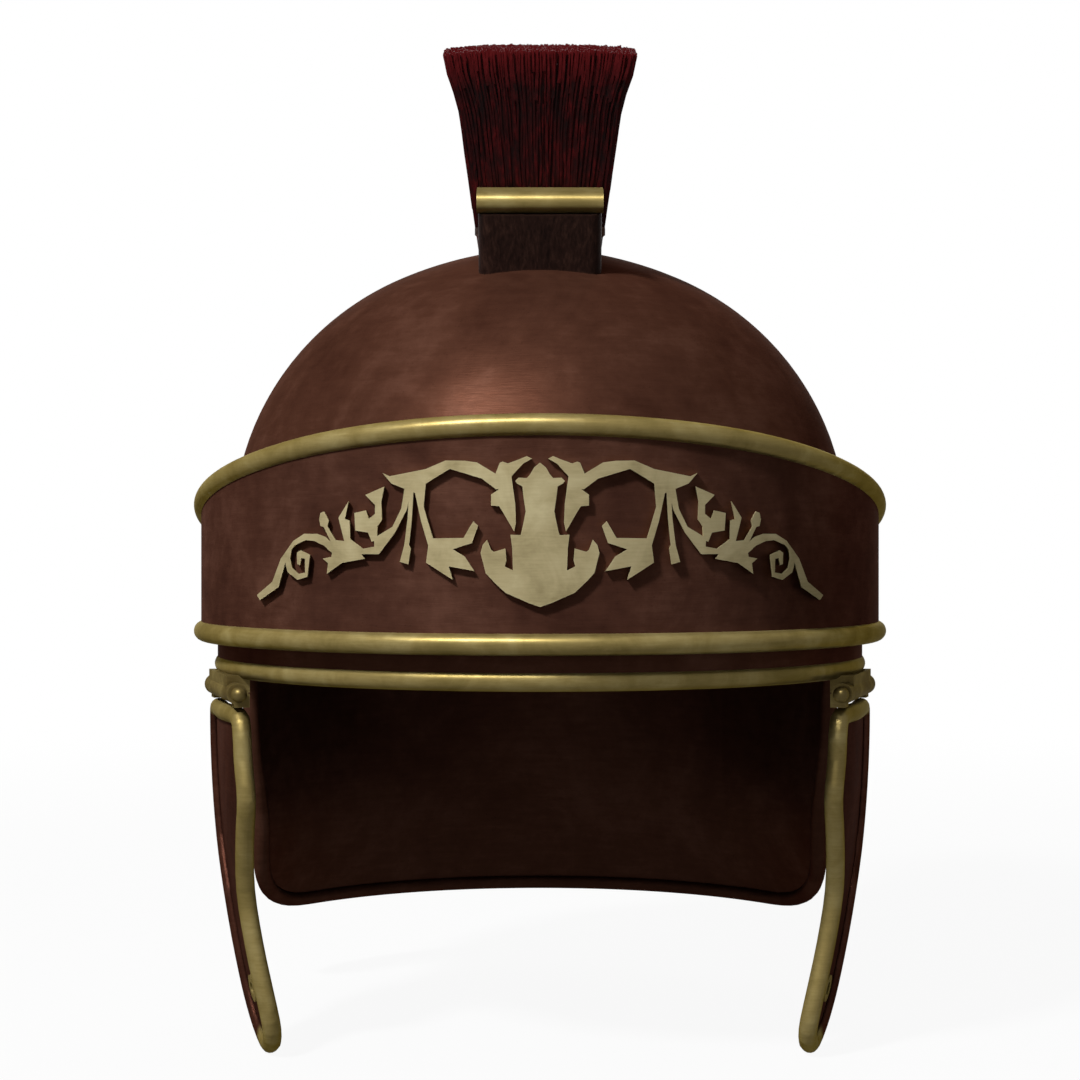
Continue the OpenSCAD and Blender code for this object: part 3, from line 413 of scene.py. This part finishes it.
def new_piece(name, points, faces, material, body, smooth=True):
    """A piece from points in millimetres, already in place."""
    mesh = bpy.data.meshes.new(name)
    corners = (np.asarray(points, float) * MM).tolist()
    mesh.from_pydata(corners, [], [tuple(map(int, f)) for f in faces])
    mesh.update()
    if smooth:
        mesh.polygons.foreach_set("use_smooth", [True] * len(mesh.polygons))
    mesh.materials.append(MATERIALS[material])
    piece = bpy.data.objects.new(name, mesh)
    bpy.context.scene.collection.objects.link(piece)
    tidy = bmesh.new()
    tidy.from_mesh(mesh)
    bmesh.ops.remove_doubles(tidy, verts=tidy.verts, dist=1e-7)
    bmesh.ops.recalc_face_normals(tidy, faces=tidy.faces)
    tidy.to_mesh(mesh)
    tidy.free()
    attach(piece, body)
    return piece


def ring_faces(rows, columns):
    """Quads between closed rings, each row a ring of so many columns of points."""
    faces = []
    for start in range(0, (rows - 1) * columns, columns):
        for j in range(columns):
            a, b = start + j, start + (j + 1) % columns
            faces.append((a, b, b + columns, a + columns))
    return faces


def oval_reach(r, angle):
    """Distance from the middle to the oval of half width r, in a direction."""
    c, s = np.abs(np.cos(angle)), np.abs(np.sin(angle))
    side = -STRETCH * c + np.sqrt(np.maximum(STRETCH ** 2 * c ** 2 - STRETCH ** 2
                                             + (r + STRETCH) ** 2, 0))
    over = side * s > side * c + STRETCH
    end_r = np.maximum(r - END_CUT, 0)
    end = STRETCH * s + np.sqrt(np.maximum(STRETCH ** 2 * s ** 2 - STRETCH ** 2 + end_r ** 2, 0))
    return np.where(over & (r > END_CUT), end, side)


def oval_points(r, angle, z):
    reach = oval_reach(r, angle)
    return np.stack([reach * np.cos(angle), reach * np.sin(angle), z * np.ones_like(reach)], -1)


def bowl_line(depth, low, count):
    """The bowl's profile at a depth: half widths, heights, and ways from its low edge up."""
    blend = math.atan2(SHOULDER_CENTRE[1] - CROWN_CENTRE[1], SHOULDER_CENTRE[0])
    sink = 0.4 * depth
    line = [(COLLAR_R - depth, low), (COLLAR_R - depth, RIM_Z + COLLAR_H - sink),
            (DOME_R - depth, RIM_Z + SLOPE_TOP_H - sink)]
    for (x, z), radius, arc in (
            (SHOULDER_CENTRE, SHOULDER_RADIUS, np.linspace(0, blend, 40)),
            (CROWN_CENTRE, CROWN_RADIUS, np.linspace(blend, math.pi / 2, 24)[1:])):
        line += [(x + (radius - depth) * math.cos(a), z + (radius - depth) * math.sin(a))
                 for a in arc]
    line = np.array(line)
    way = np.concatenate([[0], np.cumsum(np.hypot(*np.diff(line, axis=0).T))])
    at = np.linspace(0, way[-1], count)
    return np.interp(at, way, line[:, 0]), np.interp(at, way, line[:, 1]), at


# ---------------------------------------------------------------- brush crest

# Half width of the brush: at its root, added up to its tips, and added where its front flares
ROOT_HALF, SPREAD, FLARE = 19.4, 7.6, 2.2
# Its length along the crest, at a middle radius
BRUSH_ARC = math.radians(CREST_FRONT + CREST_BACK) * 210
# Outer hairs: layers, hairs of a layer over an end and over a side, and the share of short ones
HAIR_LAYERS = 3
END_HAIRS = int(2 * 22 / 0.74)
SIDE_HAIRS = int(BRUSH_ARC / 0.86)
SHORT_SHARE = 0.12
# Tip hairs, front to back and side to side
TIP_ROWS, TIP_COLUMNS = 150, 42


def eased(share):
    """0 up to 0, 1 from 1, and a soft curve between."""
    share = np.clip(share, 0, 1)
    return share ** 2 * (3 - 2 * share)


def brush_point(along, across, r, half_width):
    """A point of the brush: along 0 front to 1 back, across -1 to 1, r from the crest's centre."""
    angle = np.radians(CREST_FRONT - (CREST_FRONT + CREST_BACK) * along)
    return np.stack([half_width * across, -r * np.sin(angle),
                     CREST_CENTRE_Z + r * np.cos(angle)], -1)


def brush_half_width(t, along):
    """Half width at a share of the height: it widens upwards, and flares near its front's top."""
    return ROOT_HALF + SPREAD * t + FLARE * eased((t - 0.64) / 0.27) * eased((0.85 - along) / 0.35)


def tube(paths, radii, sides=3):
    """Thin rods along many paths at once: paths is hairs x points x 3."""
    hairs, steps, _ = paths.shape
    turn = np.arange(sides) * TAU / sides
    along = paths[:, -1] - paths[:, 0]
    along /= np.linalg.norm(along, axis=1, keepdims=True)
    first = np.cross(along, np.array([1.0, 0.0, 0.0]))
    first /= np.linalg.norm(first, axis=1, keepdims=True)
    second = np.cross(along, first)
    ring = (first[:, None, :] * np.cos(turn)[None, :, None]
            + second[:, None, :] * np.sin(turn)[None, :, None])
    points = paths[:, :, None, :] + ring[:, None, :, :] * radii[:, :, None, None]
    one = ring_faces(steps, sides)
    one.append(tuple((steps - 1) * sides + j for j in range(sides)))
    one.append(tuple(reversed(range(sides))))
    faces = [tuple(hair * steps * sides + k for k in face) for hair in range(hairs) for face in one]
    return points.reshape(-1, 3), faces


def hair_paths(random, along, across, start, end, steps, wave, lean):
    """Hairs from a share of the height to another, each with its own slow wave and lean."""
    count = len(along)
    t = start[:, None] + (end - start)[:, None] * np.linspace(0, 1, steps)[None, :]
    sunk = 0.3
    r = BRUSH_ROOT - sunk + (BRUSH_TIP - BRUSH_ROOT + sunk) * t
    phase = random.uniform(0, TAU, (count, 1))
    turns = random.uniform(0.8, 2.6, (count, 1))
    size = wave * random.uniform(0.3, 1.0, (count, 1)) * np.minimum(1, 3 * t)
    sway = size * np.sin(TAU * turns * t + phase)
    push = 0.6 * size * np.cos(TAU * turns * 0.7 * t + phase * 1.7)
    drift = lean * random.normal(0, 1, (count, 1)) * t ** 1.5
    half = brush_half_width(t, along[:, None])
    points = brush_point(along[:, None] + push / 200, np.repeat(across[:, None], steps, 1), r, half)
    points[..., 0] += sway + drift
    points[..., 0] = np.clip(points[..., 0], 0.4 - half, half - 0.4)
    return points


def outer_hairs(random):
    """The hairs of the brush's ends and sides, in layers, a few of them short."""
    along, across = [], []
    for layer in range(HAIR_LAYERS):
        inset = 0.45 + 0.8 * layer
        for end in (inset / BRUSH_ARC, 1 - inset / BRUSH_ARC):
            v = np.linspace(-0.98, 0.98, END_HAIRS) + random.normal(0, 0.008, END_HAIRS)
            along.append(np.full(END_HAIRS, end) + random.normal(0, 0.0012, END_HAIRS))
            across.append(v * (1 - 0.02 * layer))
        for side in (-1, 1):
            u = np.linspace(0.004, 0.996, SIDE_HAIRS) + random.normal(0, 0.0015, SIDE_HAIRS)
            along.append(np.clip(u, 0.002, 0.998))
            across.append(side * (1 - inset / 24) + random.normal(0, 0.008, SIDE_HAIRS))
    along, across = np.concatenate(along), np.concatenate(across)
    count, steps = len(along), 10
    top = 0.972 - 0.02 * np.abs(across) ** 4 + random.normal(0, 0.004, count)
    short = random.random(count) < SHORT_SHARE
    top = np.where(short, top - random.uniform(0.05, 0.4, count), top)
    paths = hair_paths(random, along, np.clip(across, -1, 1), np.zeros(count),
                       np.clip(top, 0.3, 0.99), steps, 0.38, 0.2)
    radii = np.linspace(0.46, 0.30, steps)[None, :] * random.uniform(0.75, 1.25, (count, 1))
    return tube(paths, radii)


def tip_hairs(random):
    """The ends of the hairs over the brush's whole top, on a loose grid."""
    u = (np.arange(TIP_ROWS) + 0.5) / TIP_ROWS
    v = 2 * (np.arange(TIP_COLUMNS) + 0.5) / TIP_COLUMNS - 1
    along, across = (a.ravel() for a in np.meshgrid(u, v * 0.985, indexing="ij"))
    count, steps = along.size, 3
    along = along + random.normal(0, 0.0022, count)
    across = np.clip(across + random.normal(0, 0.012, count), -0.99, 0.99)
    top = 0.974 - 0.025 * across ** 4 + random.normal(0, 0.0045, count)
    low = random.uniform(0.70, 0.88, count)
    paths = hair_paths(random, np.clip(along, 0.002, 0.998), across, low,
                       np.clip(top, 0.90, 0.997), steps, 0.4, 0.35)
    radii = np.linspace(0.55, 0.34, steps)[None, :] * random.uniform(0.75, 1.2, (count, 1))
    return tube(paths, radii)


def brush_block(rings, steps, facing):
    """A closed block from rings of points, whose first steps face those that end at facing."""
    columns = len(rings[0])
    faces = ring_faces(len(rings), columns)
    top = (len(rings) - 1) * columns
    for i in range(steps - 1):
        faces.append((i, i + 1, facing - i - 1, facing - i))
        faces.append((top + i, top + facing - i, top + facing - i - 1, top + i + 1))
    return np.vstack(rings), faces


def make_core():
    """The dense middle of the brush, behind its outer hairs, in darker reds that are painted shade.
    """
    long, wide = 120, 26
    ring_u = np.concatenate([np.linspace(0.012, 0.988, long), np.full(wide, 0.988),
                             np.linspace(0.988, 0.012, long), np.full(wide, 0.012)])
    ring_v = np.concatenate([np.full(long, 1.0), np.linspace(1, -1, wide),
                             np.full(long, -1.0), np.linspace(-1, 1, wide)])
    rings = []
    for t in np.linspace(0, 0.90, 14):
        r = BRUSH_ROOT - 0.2 + (BRUSH_TIP - BRUSH_ROOT) * t
        half = brush_half_width(t, ring_u) - 1.5
        ring = brush_point(ring_u, ring_v, np.full(ring_u.size, r), half)
        ring[:, 0] += 0.22 * np.sin(np.arange(ring_u.size) * 2.4)
        rings.append(ring)
    points, faces = brush_block(rings, long, 2 * long + wide - 1)
    return new_piece("horsehair_core", points, faces, "hair_core", "helmet")


def make_backing():
    """The strip of leather that the hairs are sewn to, its long edges eased."""
    long = 90
    ring_u = np.concatenate([np.linspace(0.0, 1.0, long), np.linspace(1.0, 0.0, long)])
    ring_v = np.concatenate([np.full(long, 1.0), np.full(long, -1.0)])
    rings = [brush_point(ring_u, ring_v, np.full(2 * long, r), half)
             for r, half in ((BRUSH_LOW, 19.0), (BRUSH_LOW + 0.5, 19.6),
                             (BRUSH_ROOT - 0.1, 19.6), (BRUSH_ROOT + 0.4, 18.6))]
    points, faces = brush_block(rings, long, 2 * long - 1)
    return new_piece("brush_backing", points, faces, "lining", "helmet",
                     smooth=False)


def make_brush():
    random = np.random.default_rng(11)
    long_points, long_faces = outer_hairs(random)
    tip_points, tip_faces = tip_hairs(random)
    faces = long_faces + [tuple(len(long_points) + k for k in f) for f in tip_faces]
    hairs = new_piece("horsehair_brush", np.vstack([long_points, tip_points]), faces,
                      "hair", "helmet", smooth=False)
    for piece in (hairs, make_core(), make_backing()):
        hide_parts("crest_plume")


# ---------------------------------------------------------------- lining

GORES = 8
FIRST_SEAM = math.radians(22.5)
# Depths of each layer's outer and inner face under the bowl's outside, and its rounded low edge
FELT_OUT, FELT_IN, FELT_EDGE = 3.15, 9.0, 2.9
LEATHER_OUT, LEATHER_IN, LEATHER_EDGE = 9.2, 10.6, 0.7
SWEAT_OUT, SWEAT_FACE = 10.75, 12.3
# The sweatband's height, and how far up it its two seams run
SWEAT_H, SWEAT_SEAMS = 30, (2.4, 27.6)


def seam_share(angle):
    """0 on a seam between two gores of the lining, 1 in the middle of a gore."""
    turn = (np.asarray(angle) - FIRST_SEAM) % (TAU / GORES) / (TAU / GORES)
    return np.sin(math.pi * turn)


def felt_swell(angle, way, whole):
    """The felt's faint quilting in rings."""
    return 0.05 * np.abs(np.sin(math.pi * way / 24.0))


def leather_swell(angle, way, whole):
    """How the leather bulges between its seams and over its ribs, above the sweatband."""
    share = way / whole
    ends = np.clip(share / 0.05, 0, 1) * np.clip((1 - share) / 0.10, 0, 1)
    gore = seam_share(angle) ** 0.55
    ribs = 0.25 + 0.75 * np.abs(np.sin(math.pi * (way - 34.0) / 27.0)) ** 0.5
    low = np.clip((way - 31.0) / 4.0, 0, 1)
    return 1.3 * gore * ribs * ends * low


def shell_piece(name, outer, inner, edge, swell, material, count=56, around=256):
    """A closed dome shell between two depths; swell(angle, way, whole) moves its inner face in."""
    angle = np.linspace(0, TAU, around, endpoint=False)
    smallest, edge_steps = 0.02, 6
    rings = []
    r_in, z_in, way = bowl_line(inner, LOW_Z + edge, count)
    r_out, z_out, _ = bowl_line(outer, LOW_Z + edge, count)
    for i in range(count - 1, -1, -1):
        lift = swell(angle, way[i], way[-1])
        r = np.maximum(r_in[i] - lift, smallest)
        rings.append(oval_points(r, angle, z_in[i] - 0.25 * lift))
    mid_r, half = (r_in[0] + r_out[0]) / 2, (r_out[0] - r_in[0]) / 2
    for k in range(1, edge_steps):
        a = math.pi * k / edge_steps
        z = LOW_Z + edge - edge * math.sin(a)
        rings.append(oval_points(mid_r - half * math.cos(a), angle, z))
    for i in range(count):
        rings.append(oval_points(np.maximum(r_out[i], smallest), angle, z_out[i]))
    faces = ring_faces(len(rings), around)
    last = (len(rings) - 1) * around
    faces.append(tuple(range(around)))
    faces.append(tuple(last + j for j in reversed(range(around))))
    return new_piece(name, np.vstack(rings), faces, material, "helmet")


def stitch_rows(name, lines, normals, length, gap, radius, body):
    """Thread stitches along lines of points, each a short bowed rod that dips in at its ends."""
    paths, radii = [], []
    steps = 5
    for line, normal in zip(lines, normals):
        way = np.concatenate([[0], np.cumsum(np.linalg.norm(np.diff(line, axis=0), axis=1))])
        for at in np.arange(gap, way[-1] - length, length + gap):
            t = at + length * np.linspace(0, 1, steps)
            point = np.stack([np.interp(t, way, line[:, k]) for k in range(3)], -1)
            out = np.stack([np.interp(t, way, normal[:, k]) for k in range(3)], -1)
            bow = np.sin(np.linspace(0, math.pi, steps))[:, None]
            paths.append(point + out * radius * (1.7 * bow - 1.0))
            radii.append(radius * np.array([0.7, 1, 1, 1, 0.7]))
    points, faces = tube(np.array(paths), np.array(radii), 5)
    return new_piece(name, points, faces, "thread", body)


def bowl_normals(angle, line_r, line_z):
    """Directions from the bowl's inner face to the inside, at one angle, along a profile."""
    slope_r, slope_z = np.gradient(line_r), np.gradient(line_z)
    size = np.hypot(slope_r, slope_z)
    inward_r, inward_z = -slope_z / size, slope_r / size
    return np.stack([inward_r * math.cos(angle), inward_r * math.sin(angle), inward_z], -1)


def make_lining():
    felt = shell_piece("felt_padding_quilted", FELT_OUT, FELT_IN, FELT_EDGE, felt_swell, "felt")
    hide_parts("felt_padding")
    leather = shell_piece("leather_lining_sewn", LEATHER_OUT, LEATHER_IN, LEATHER_EDGE,
                          leather_swell, "lining", 110, 384)
    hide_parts("leather_lining")

    lines, normals = [], []
    r, z, way = bowl_line(LEATHER_IN, LOW_Z + LEATHER_EDGE, 120)
    keep = (way > 36) & (way < way[-1] - 12)
    for gore in range(GORES):
        seam = FIRST_SEAM + gore * TAU / GORES
        for shift in (-2.0, 2.0):
            reach = oval_reach(r[keep], np.full(keep.sum(), seam))
            angle = seam + shift / np.maximum(reach, 12)
            lines.append(oval_points(r[keep] - 0.55, angle, z[keep]))
            normals.append(bowl_normals(seam, r, z)[keep])
    seams = stitch_rows("lining_seam_stitches", lines, normals, 3.0, 1.6, 0.36, "helmet")
    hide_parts("leather_lining")


def sweat_radius(z):
    """Half width of the bowl's outside at a height, over the collar and its slope."""
    return float(np.interp(z, [RIM_Z, RIM_Z + 18, RIM_Z + 27, RIM_Z + 60],
                           [COLLAR_R, COLLAR_R, DOME_R, DOME_R]))


def make_sweatband():
    """A leather band folded over at its edges, its face crowned, sewn along both edges."""
    around, across = 384, 15
    angle = np.linspace(0, TAU, around, endpoint=False)
    low, high = LOW_Z + 0.15, LOW_Z + 29.85
    middle = (SWEAT_OUT + SWEAT_FACE) / 2
    rings = []
    for z, depth in [(low + 1.0, SWEAT_OUT), (low + 0.25, SWEAT_OUT + 0.35), (low, middle),
                     (low + 0.3, SWEAT_FACE - 0.25)]:
        rings.append(oval_points(COLLAR_R - depth, angle, z))
    for k in range(across):
        share = (k + 0.5) / across
        z = low + share * (high - low)
        crown = math.sin(math.pi * share) ** 0.6
        groove = sum(math.exp(-((share * SWEAT_H - at) / 0.8) ** 2) for at in SWEAT_SEAMS)
        ripple = 0.10 * np.sin(angle * 46 + 2.0 * share) * crown
        depth = SWEAT_FACE - 0.55 + 0.85 * crown - 0.45 * groove
        rings.append(oval_points(sweat_radius(z) - depth - ripple, angle, z))
    for z, depth in [(high - 0.3, SWEAT_FACE - 0.25), (high, middle),
                     (high - 0.25, SWEAT_OUT + 0.35), (high - 1.0, SWEAT_OUT)]:
        rings.append(oval_points(sweat_radius(z) - depth, angle, z))
    faces = ring_faces(len(rings), around)
    last = (len(rings) - 1) * around
    faces += [(last + j, last + (j + 1) % around, (j + 1) % around, j) for j in range(around)]
    band = new_piece("sweatband_sewn", np.vstack(rings), faces, "sweat", "helmet")
    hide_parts("sweatband")

    lines, normals = [], []
    ring = np.append(angle, angle[:1] + TAU)
    for at in SWEAT_SEAMS:
        z = low + at / SWEAT_H * (high - low)
        lines.append(oval_points(sweat_radius(z) - SWEAT_FACE - 0.05, ring, z))
        normals.append(-np.stack([np.cos(ring), np.sin(ring), 0 * ring], -1))
    stitches = stitch_rows("sweatband_stitches", lines, normals, 3.2, 1.8, 0.38, "helmet")
    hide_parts("sweatband")


# ---------------------------------------------------------------- cheek pads

# The cheek guard's sheet bends with these radii, in plan and from top to tip
CHEEK_PLAN, CHEEK_JAW = 220.0, 435.0
CHEEK_AXIS = -1.0 - math.sqrt(CHEEK_PLAN ** 2 - (0.4 * 59) ** 2)
# Its outline: distance ahead of the hinge's middle, and below its top edge
CHEEK_MARKS = [(-21, 0), (0, 0), (21.5, 0), (26, 4), (27, 13), (28.7, 24.6), (23.5, 37),
               (17.6, 53), (18.5, 69), (21, 85), (20.5, 95), (12.5, 101), (3.5, 97), (-3, 88),
               (-6.5, 77), (-13, 57), (-21.5, 41), (-24.5, 24), (-25.5, 8), (-24.5, 2.5)]
SHARP_MARKS = (3, len(CHEEK_MARKS) - 1)
# The pad's edge inside that outline, its seam inside the edge, how far its back and its seam are
# lifted off the middle of the sheet, and its hole round the eyelet
PAD_INSET = 2.85 + 2.1
PAD_SEAM = 3.2
PAD_BACK, PAD_SEAM_LIFT = -0.80, -2.25
PAD_HOLE, PAD_HOLE_R = np.array([-10.0, CHEEK_TOP - 84.0]), 3.1


def smooth_loop(marks, steps):
    """A closed smooth curve through marks, with steps points a span."""
    a, b, c, d = (np.roll(marks, k, axis=0)[:, None, :] for k in (1, 0, -1, -2))
    t = (np.arange(steps) / steps)[None, :, None]
    curve = 0.5 * (2 * b + (c - a) * t + (2 * a - 5 * b + 4 * c - d) * t ** 2
                   + (3 * b - a - 3 * c + d) * t ** 3)
    return curve.reshape(-1, 2)


def pad_loop(inset):
    """The cheek guard's outline moved inward, its two sharp corners left out."""
    edge = np.array([(-p[0], CHEEK_TOP - p[1]) for p in CHEEK_MARKS], float)
    along = np.roll(edge, -1, axis=0) - np.roll(edge, 1, axis=0)
    along /= np.linalg.norm(along, axis=1, keepdims=True)
    inner = edge + inset * np.stack([-along[:, 1], along[:, 0]], -1)
    return smooth_loop(inner[[i for i in range(len(edge)) if i not in SHARP_MARKS]], 9)


def cheek_place(y, z, lift):
    """A point on the cheek guard's sheet, lifted along its normal, in the hinge's directions."""
    r = CHEEK_PLAN - CHEEK_JAW + np.sqrt(CHEEK_JAW ** 2 - (CHEEK_TOP - z) ** 2)
    way = np.arcsin(y / r)
    tip = np.arcsin((CHEEK_TOP - z) / CHEEK_JAW)
    point = np.stack([CHEEK_AXIS + r * np.cos(way), y, z], -1)
    normal = np.stack([np.cos(way) * np.cos(tip), np.sin(way) * np.cos(tip), -np.sin(tip)], -1)
    return point + normal * np.asarray(lift)[..., None], normal


def at_hinge(points, side, is_direction=False):
    """From the hinge's directions to the frame, on the left for side 1 and the right for -1."""
    turn = Matrix.Rotation(math.radians(-HINGE_TURN), 3, "Z")
    moved = np.asarray(points) @ np.array(turn).T
    if not is_direction:
        moved = moved + np.array(HINGE)
    moved[..., 0] *= side
    return moved


def loop_distance(points, loop):
    """Distance of each point from a closed line."""
    a, b = loop, np.roll(loop, -1, axis=0)
    ab = b - a
    t = np.clip(((points[:, None, :] - a) * ab).sum(-1) / (ab ** 2).sum(-1), 0, 1)
    return np.linalg.norm(points[:, None, :] - (a + t[..., None] * ab), axis=-1).min(1)


def inside_loop(points, loop):
    x, y = points[:, 0][:, None], points[:, 1][:, None]
    a, b = loop, np.roll(loop, -1, axis=0)
    crossing = (a[:, 1] > y) != (b[:, 1] > y)
    with np.errstate(divide="ignore", invalid="ignore"):
        at = (b[:, 0] - a[:, 0]) * (y - a[:, 1]) / (b[:, 1] - a[:, 1]) + a[:, 0]
    return (crossing & (x < at)).sum(1) % 2 == 1


def pad_sheet():
    """The pad laid flat: its points, its triangles, and its thickness at each point."""
    loop = pad_loop(PAD_INSET)
    step = 1.1
    ys, zs = np.meshgrid(np.arange(-30, 30, step), np.arange(CHEEK_TOP - 105, CHEEK_TOP, step))
    inner = np.stack([ys.ravel(), zs.ravel()], -1)
    inner = inner[inside_loop(inner, loop)]
    inner = inner[loop_distance(inner, loop) > 0.6]
    inner = inner[np.linalg.norm(inner - PAD_HOLE, axis=1) > PAD_HOLE_R + 0.7]
    turn = np.arange(28) * TAU / 28
    ring = PAD_HOLE + PAD_HOLE_R * np.stack([np.cos(turn), np.sin(turn)], -1)
    flat = np.vstack([loop, ring, inner])
    n, m = len(loop), len(ring)
    edges = [(i, (i + 1) % n) for i in range(n)] + [(n + i, n + (i + 1) % m) for i in range(m)]
    verts, _, triangles, *_ = delaunay_2d_cdt([Vector(p) for p in flat], edges, [], 0, 1e-6)
    verts = np.array([(v.x, v.y) for v in verts])
    centre = verts[np.array(triangles)].mean(1)
    outside_hole = np.linalg.norm(centre - PAD_HOLE, axis=1) > PAD_HOLE_R - 0.05
    keep = inside_loop(centre, loop) & outside_hole
    triangles = [t for t, k in zip(triangles, keep) if k]

    hole_gap = np.abs(np.linalg.norm(verts - PAD_HOLE, axis=1) - PAD_HOLE_R)
    rim = np.minimum(loop_distance(verts, loop), hole_gap)
    rim[:n + m] = 0
    stitched = np.exp(-((rim - PAD_SEAM) / 0.7) ** 2)
    rows = (verts[:, 1] - CHEEK_TOP + 0.35 * verts[:, 0] + 6) % 15.0 - 7.5
    rows = np.exp(-(rows / 0.8) ** 2) * np.clip((rim - PAD_SEAM) / 1.5, 0, 1)
    thick = 0.35 + 1.0 * np.clip(rim / 1.6, 0, 1) ** 0.5 + 0.55 * np.clip(rim / 9, 0, 1) ** 0.7
    thick = thick - 0.5 * stitched - 0.5 * rows
    return verts, triangles, np.minimum(thick, 1.9)


def make_cheek_pads():
    verts, triangles, thick = pad_sheet()
    used = len(verts)
    back_lift = np.full(used, PAD_BACK)
    sides = [(a, b) for t in triangles for a, b in ((t[0], t[1]), (t[1], t[2]), (t[2], t[0]))]
    known = set(sides)
    border = [(a, b) for a, b in sides if (b, a) not in known]
    faces = ([tuple(t) for t in triangles]
             + [tuple(used + k for k in reversed(t)) for t in triangles]
             + [(b, a, used + a, used + b) for a, b in border])
    seam = pad_loop(PAD_INSET + PAD_SEAM)
    seam = np.vstack([seam, seam[:1]])
    for side, word in ((1, "left"), (-1, "right")):
        front, _ = cheek_place(verts[:, 0], verts[:, 1], back_lift - thick)
        back, _ = cheek_place(verts[:, 0], verts[:, 1], back_lift)
        pad = new_piece("cheek_pad_quilted_" + word, at_hinge(np.vstack([front, back]), side),
                        faces, "pad", "cheek_" + word)
        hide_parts("cheek_pad_" + word)
        line, normal = cheek_place(seam[:, 0], seam[:, 1], np.full(len(seam), PAD_SEAM_LIFT))
        stitches = stitch_rows("cheek_pad_stitches_" + word, [at_hinge(line, side)],
                               [-at_hinge(normal, side, True)], 2.8, 1.5, 0.34, "cheek_" + word)
        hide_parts("cheek_pad_" + word)


# ---------------------------------------------------------------- stage and light

FLOOR_COLOUR = linear(242, 242, 242)
# What the floor throws back up at the object, so that its pale colour doesn't wash it out
FLOOR_BOUNCE = linear(70, 70, 70)
# How much of the floor's white near the object is plain white. The rest takes the shadow
FLOOR_GLOW = 0.93
FLOOR_SIZE = 12.0
AMBIENT = 0.04
LIGHT_AIM = (0, 0, -0.09)


def background_ray(tree):
    """1 for the rays that see the white background: camera, glossy and transmission rays."""
    path = tree.nodes.new("ShaderNodeLightPath")
    seen = path.outputs["Is Camera Ray"]
    for kind in ("Is Glossy Ray", "Is Transmission Ray"):
        node = tree.nodes.new("ShaderNodeMath")
        node.operation = "MAXIMUM"
        tree.links.new(seen, node.inputs[0])
        tree.links.new(path.outputs[kind], node.inputs[1])
        seen = node.outputs["Value"]
    return seen


def pale_floor():
    """A pale matt surface, shadows kept, that throws little light back up at the object."""
    s = Shade("pale_floor")
    s.set(Roughness=0.9, Specular_IOR_Level=0.1)
    path = s.tree.nodes.new("ShaderNodeLightPath")
    colour = s.mix(path.outputs["Is Camera Ray"], FLOOR_BOUNCE, FLOOR_COLOUR)
    s.feed(s.shader.inputs["Base Color"], colour)
    light = s.tree.nodes.new("ShaderNodeEmission")
    light.inputs["Color"].default_value = (1, 1, 1, 1)
    light.inputs["Strength"].default_value = 1.0
    glow = s.fade(s.length(s.place), 0.35, 1.3, FLOOR_GLOW)
    blend = s.tree.nodes.new("ShaderNodeMixShader")
    s.feed(blend.inputs["Fac"], s.math("MULTIPLY", background_ray(s.tree), glow))
    s.tree.links.new(s.shader.outputs["BSDF"], blend.inputs[1])
    s.tree.links.new(light.outputs["Emission"], blend.inputs[2])
    s.tree.links.new(blend.outputs["Shader"], s.tree.nodes["Material Output"].inputs["Surface"])
    return s.material


def make_floor():
    z = CAD_BOX[0][2] - 0.0004
    mesh = bpy.data.meshes.new("floor")
    mesh.from_pydata([(x * FLOOR_SIZE, y * FLOOR_SIZE, z)
                      for x, y in ((-1, -1), (1, -1), (1, 1), (-1, 1))], [], [(0, 1, 2, 3)])
    mesh.materials.append(pale_floor())
    floor = bpy.data.objects.new("floor", mesh)
    bpy.context.scene.collection.objects.link(floor)


def make_world():
    world = bpy.data.worlds.new("studio")
    bpy.context.scene.world = world
    world.use_nodes = True
    tree = world.node_tree
    soft, white = tree.nodes["Background"], tree.nodes.new("ShaderNodeBackground")
    for node, strength in ((soft, AMBIENT), (white, 1.0)):
        node.inputs["Color"].default_value = (1, 1, 1, 1)
        node.inputs["Strength"].default_value = strength
    blend = tree.nodes.new("ShaderNodeMixShader")
    tree.links.new(background_ray(tree), blend.inputs["Fac"])
    tree.links.new(soft.outputs["Background"], blend.inputs[1])
    tree.links.new(white.outputs["Background"], blend.inputs[2])
    tree.links.new(blend.outputs["Shader"], tree.nodes["World Output"].inputs["Surface"])


def area_light(name, place, size, power, height=None, gloss_only=False):
    """A lamp aimed at the helmet. gloss_only shows it in reflections and adds no other light."""
    data = bpy.data.lights.new(name, "AREA")
    data.shape = "RECTANGLE"
    data.size = size
    data.size_y = height or size
    data.energy = power
    light = bpy.data.objects.new(name, data)
    light.visible_diffuse = not gloss_only
    light.location = place
    aim = Vector(LIGHT_AIM) - Vector(place)
    light.rotation_euler = aim.to_track_quat("-Z", "Y").to_euler()
    bpy.context.scene.collection.objects.link(light)


def make_lights():
    area_light("key_upper_left", (-0.82, -1.12, 1.16), 0.20, 28)
    area_light("gloss_strip", (-0.38, -1.20, 1.15), 0.80, 55, height=0.26, gloss_only=True)
    area_light("fill_front", (0.5, -2.0, 0.2), 1.4, 1)
    area_light("fill_back", (0.2, 2.0, 0.9), 1.6, 14)


make_camera()
dress_nodes()
make_brush()
make_lining()
make_sweatband()
make_cheek_pads()
make_floor()
make_world()
make_lights()
bpy.context.scene.view_settings.view_transform = "Standard"
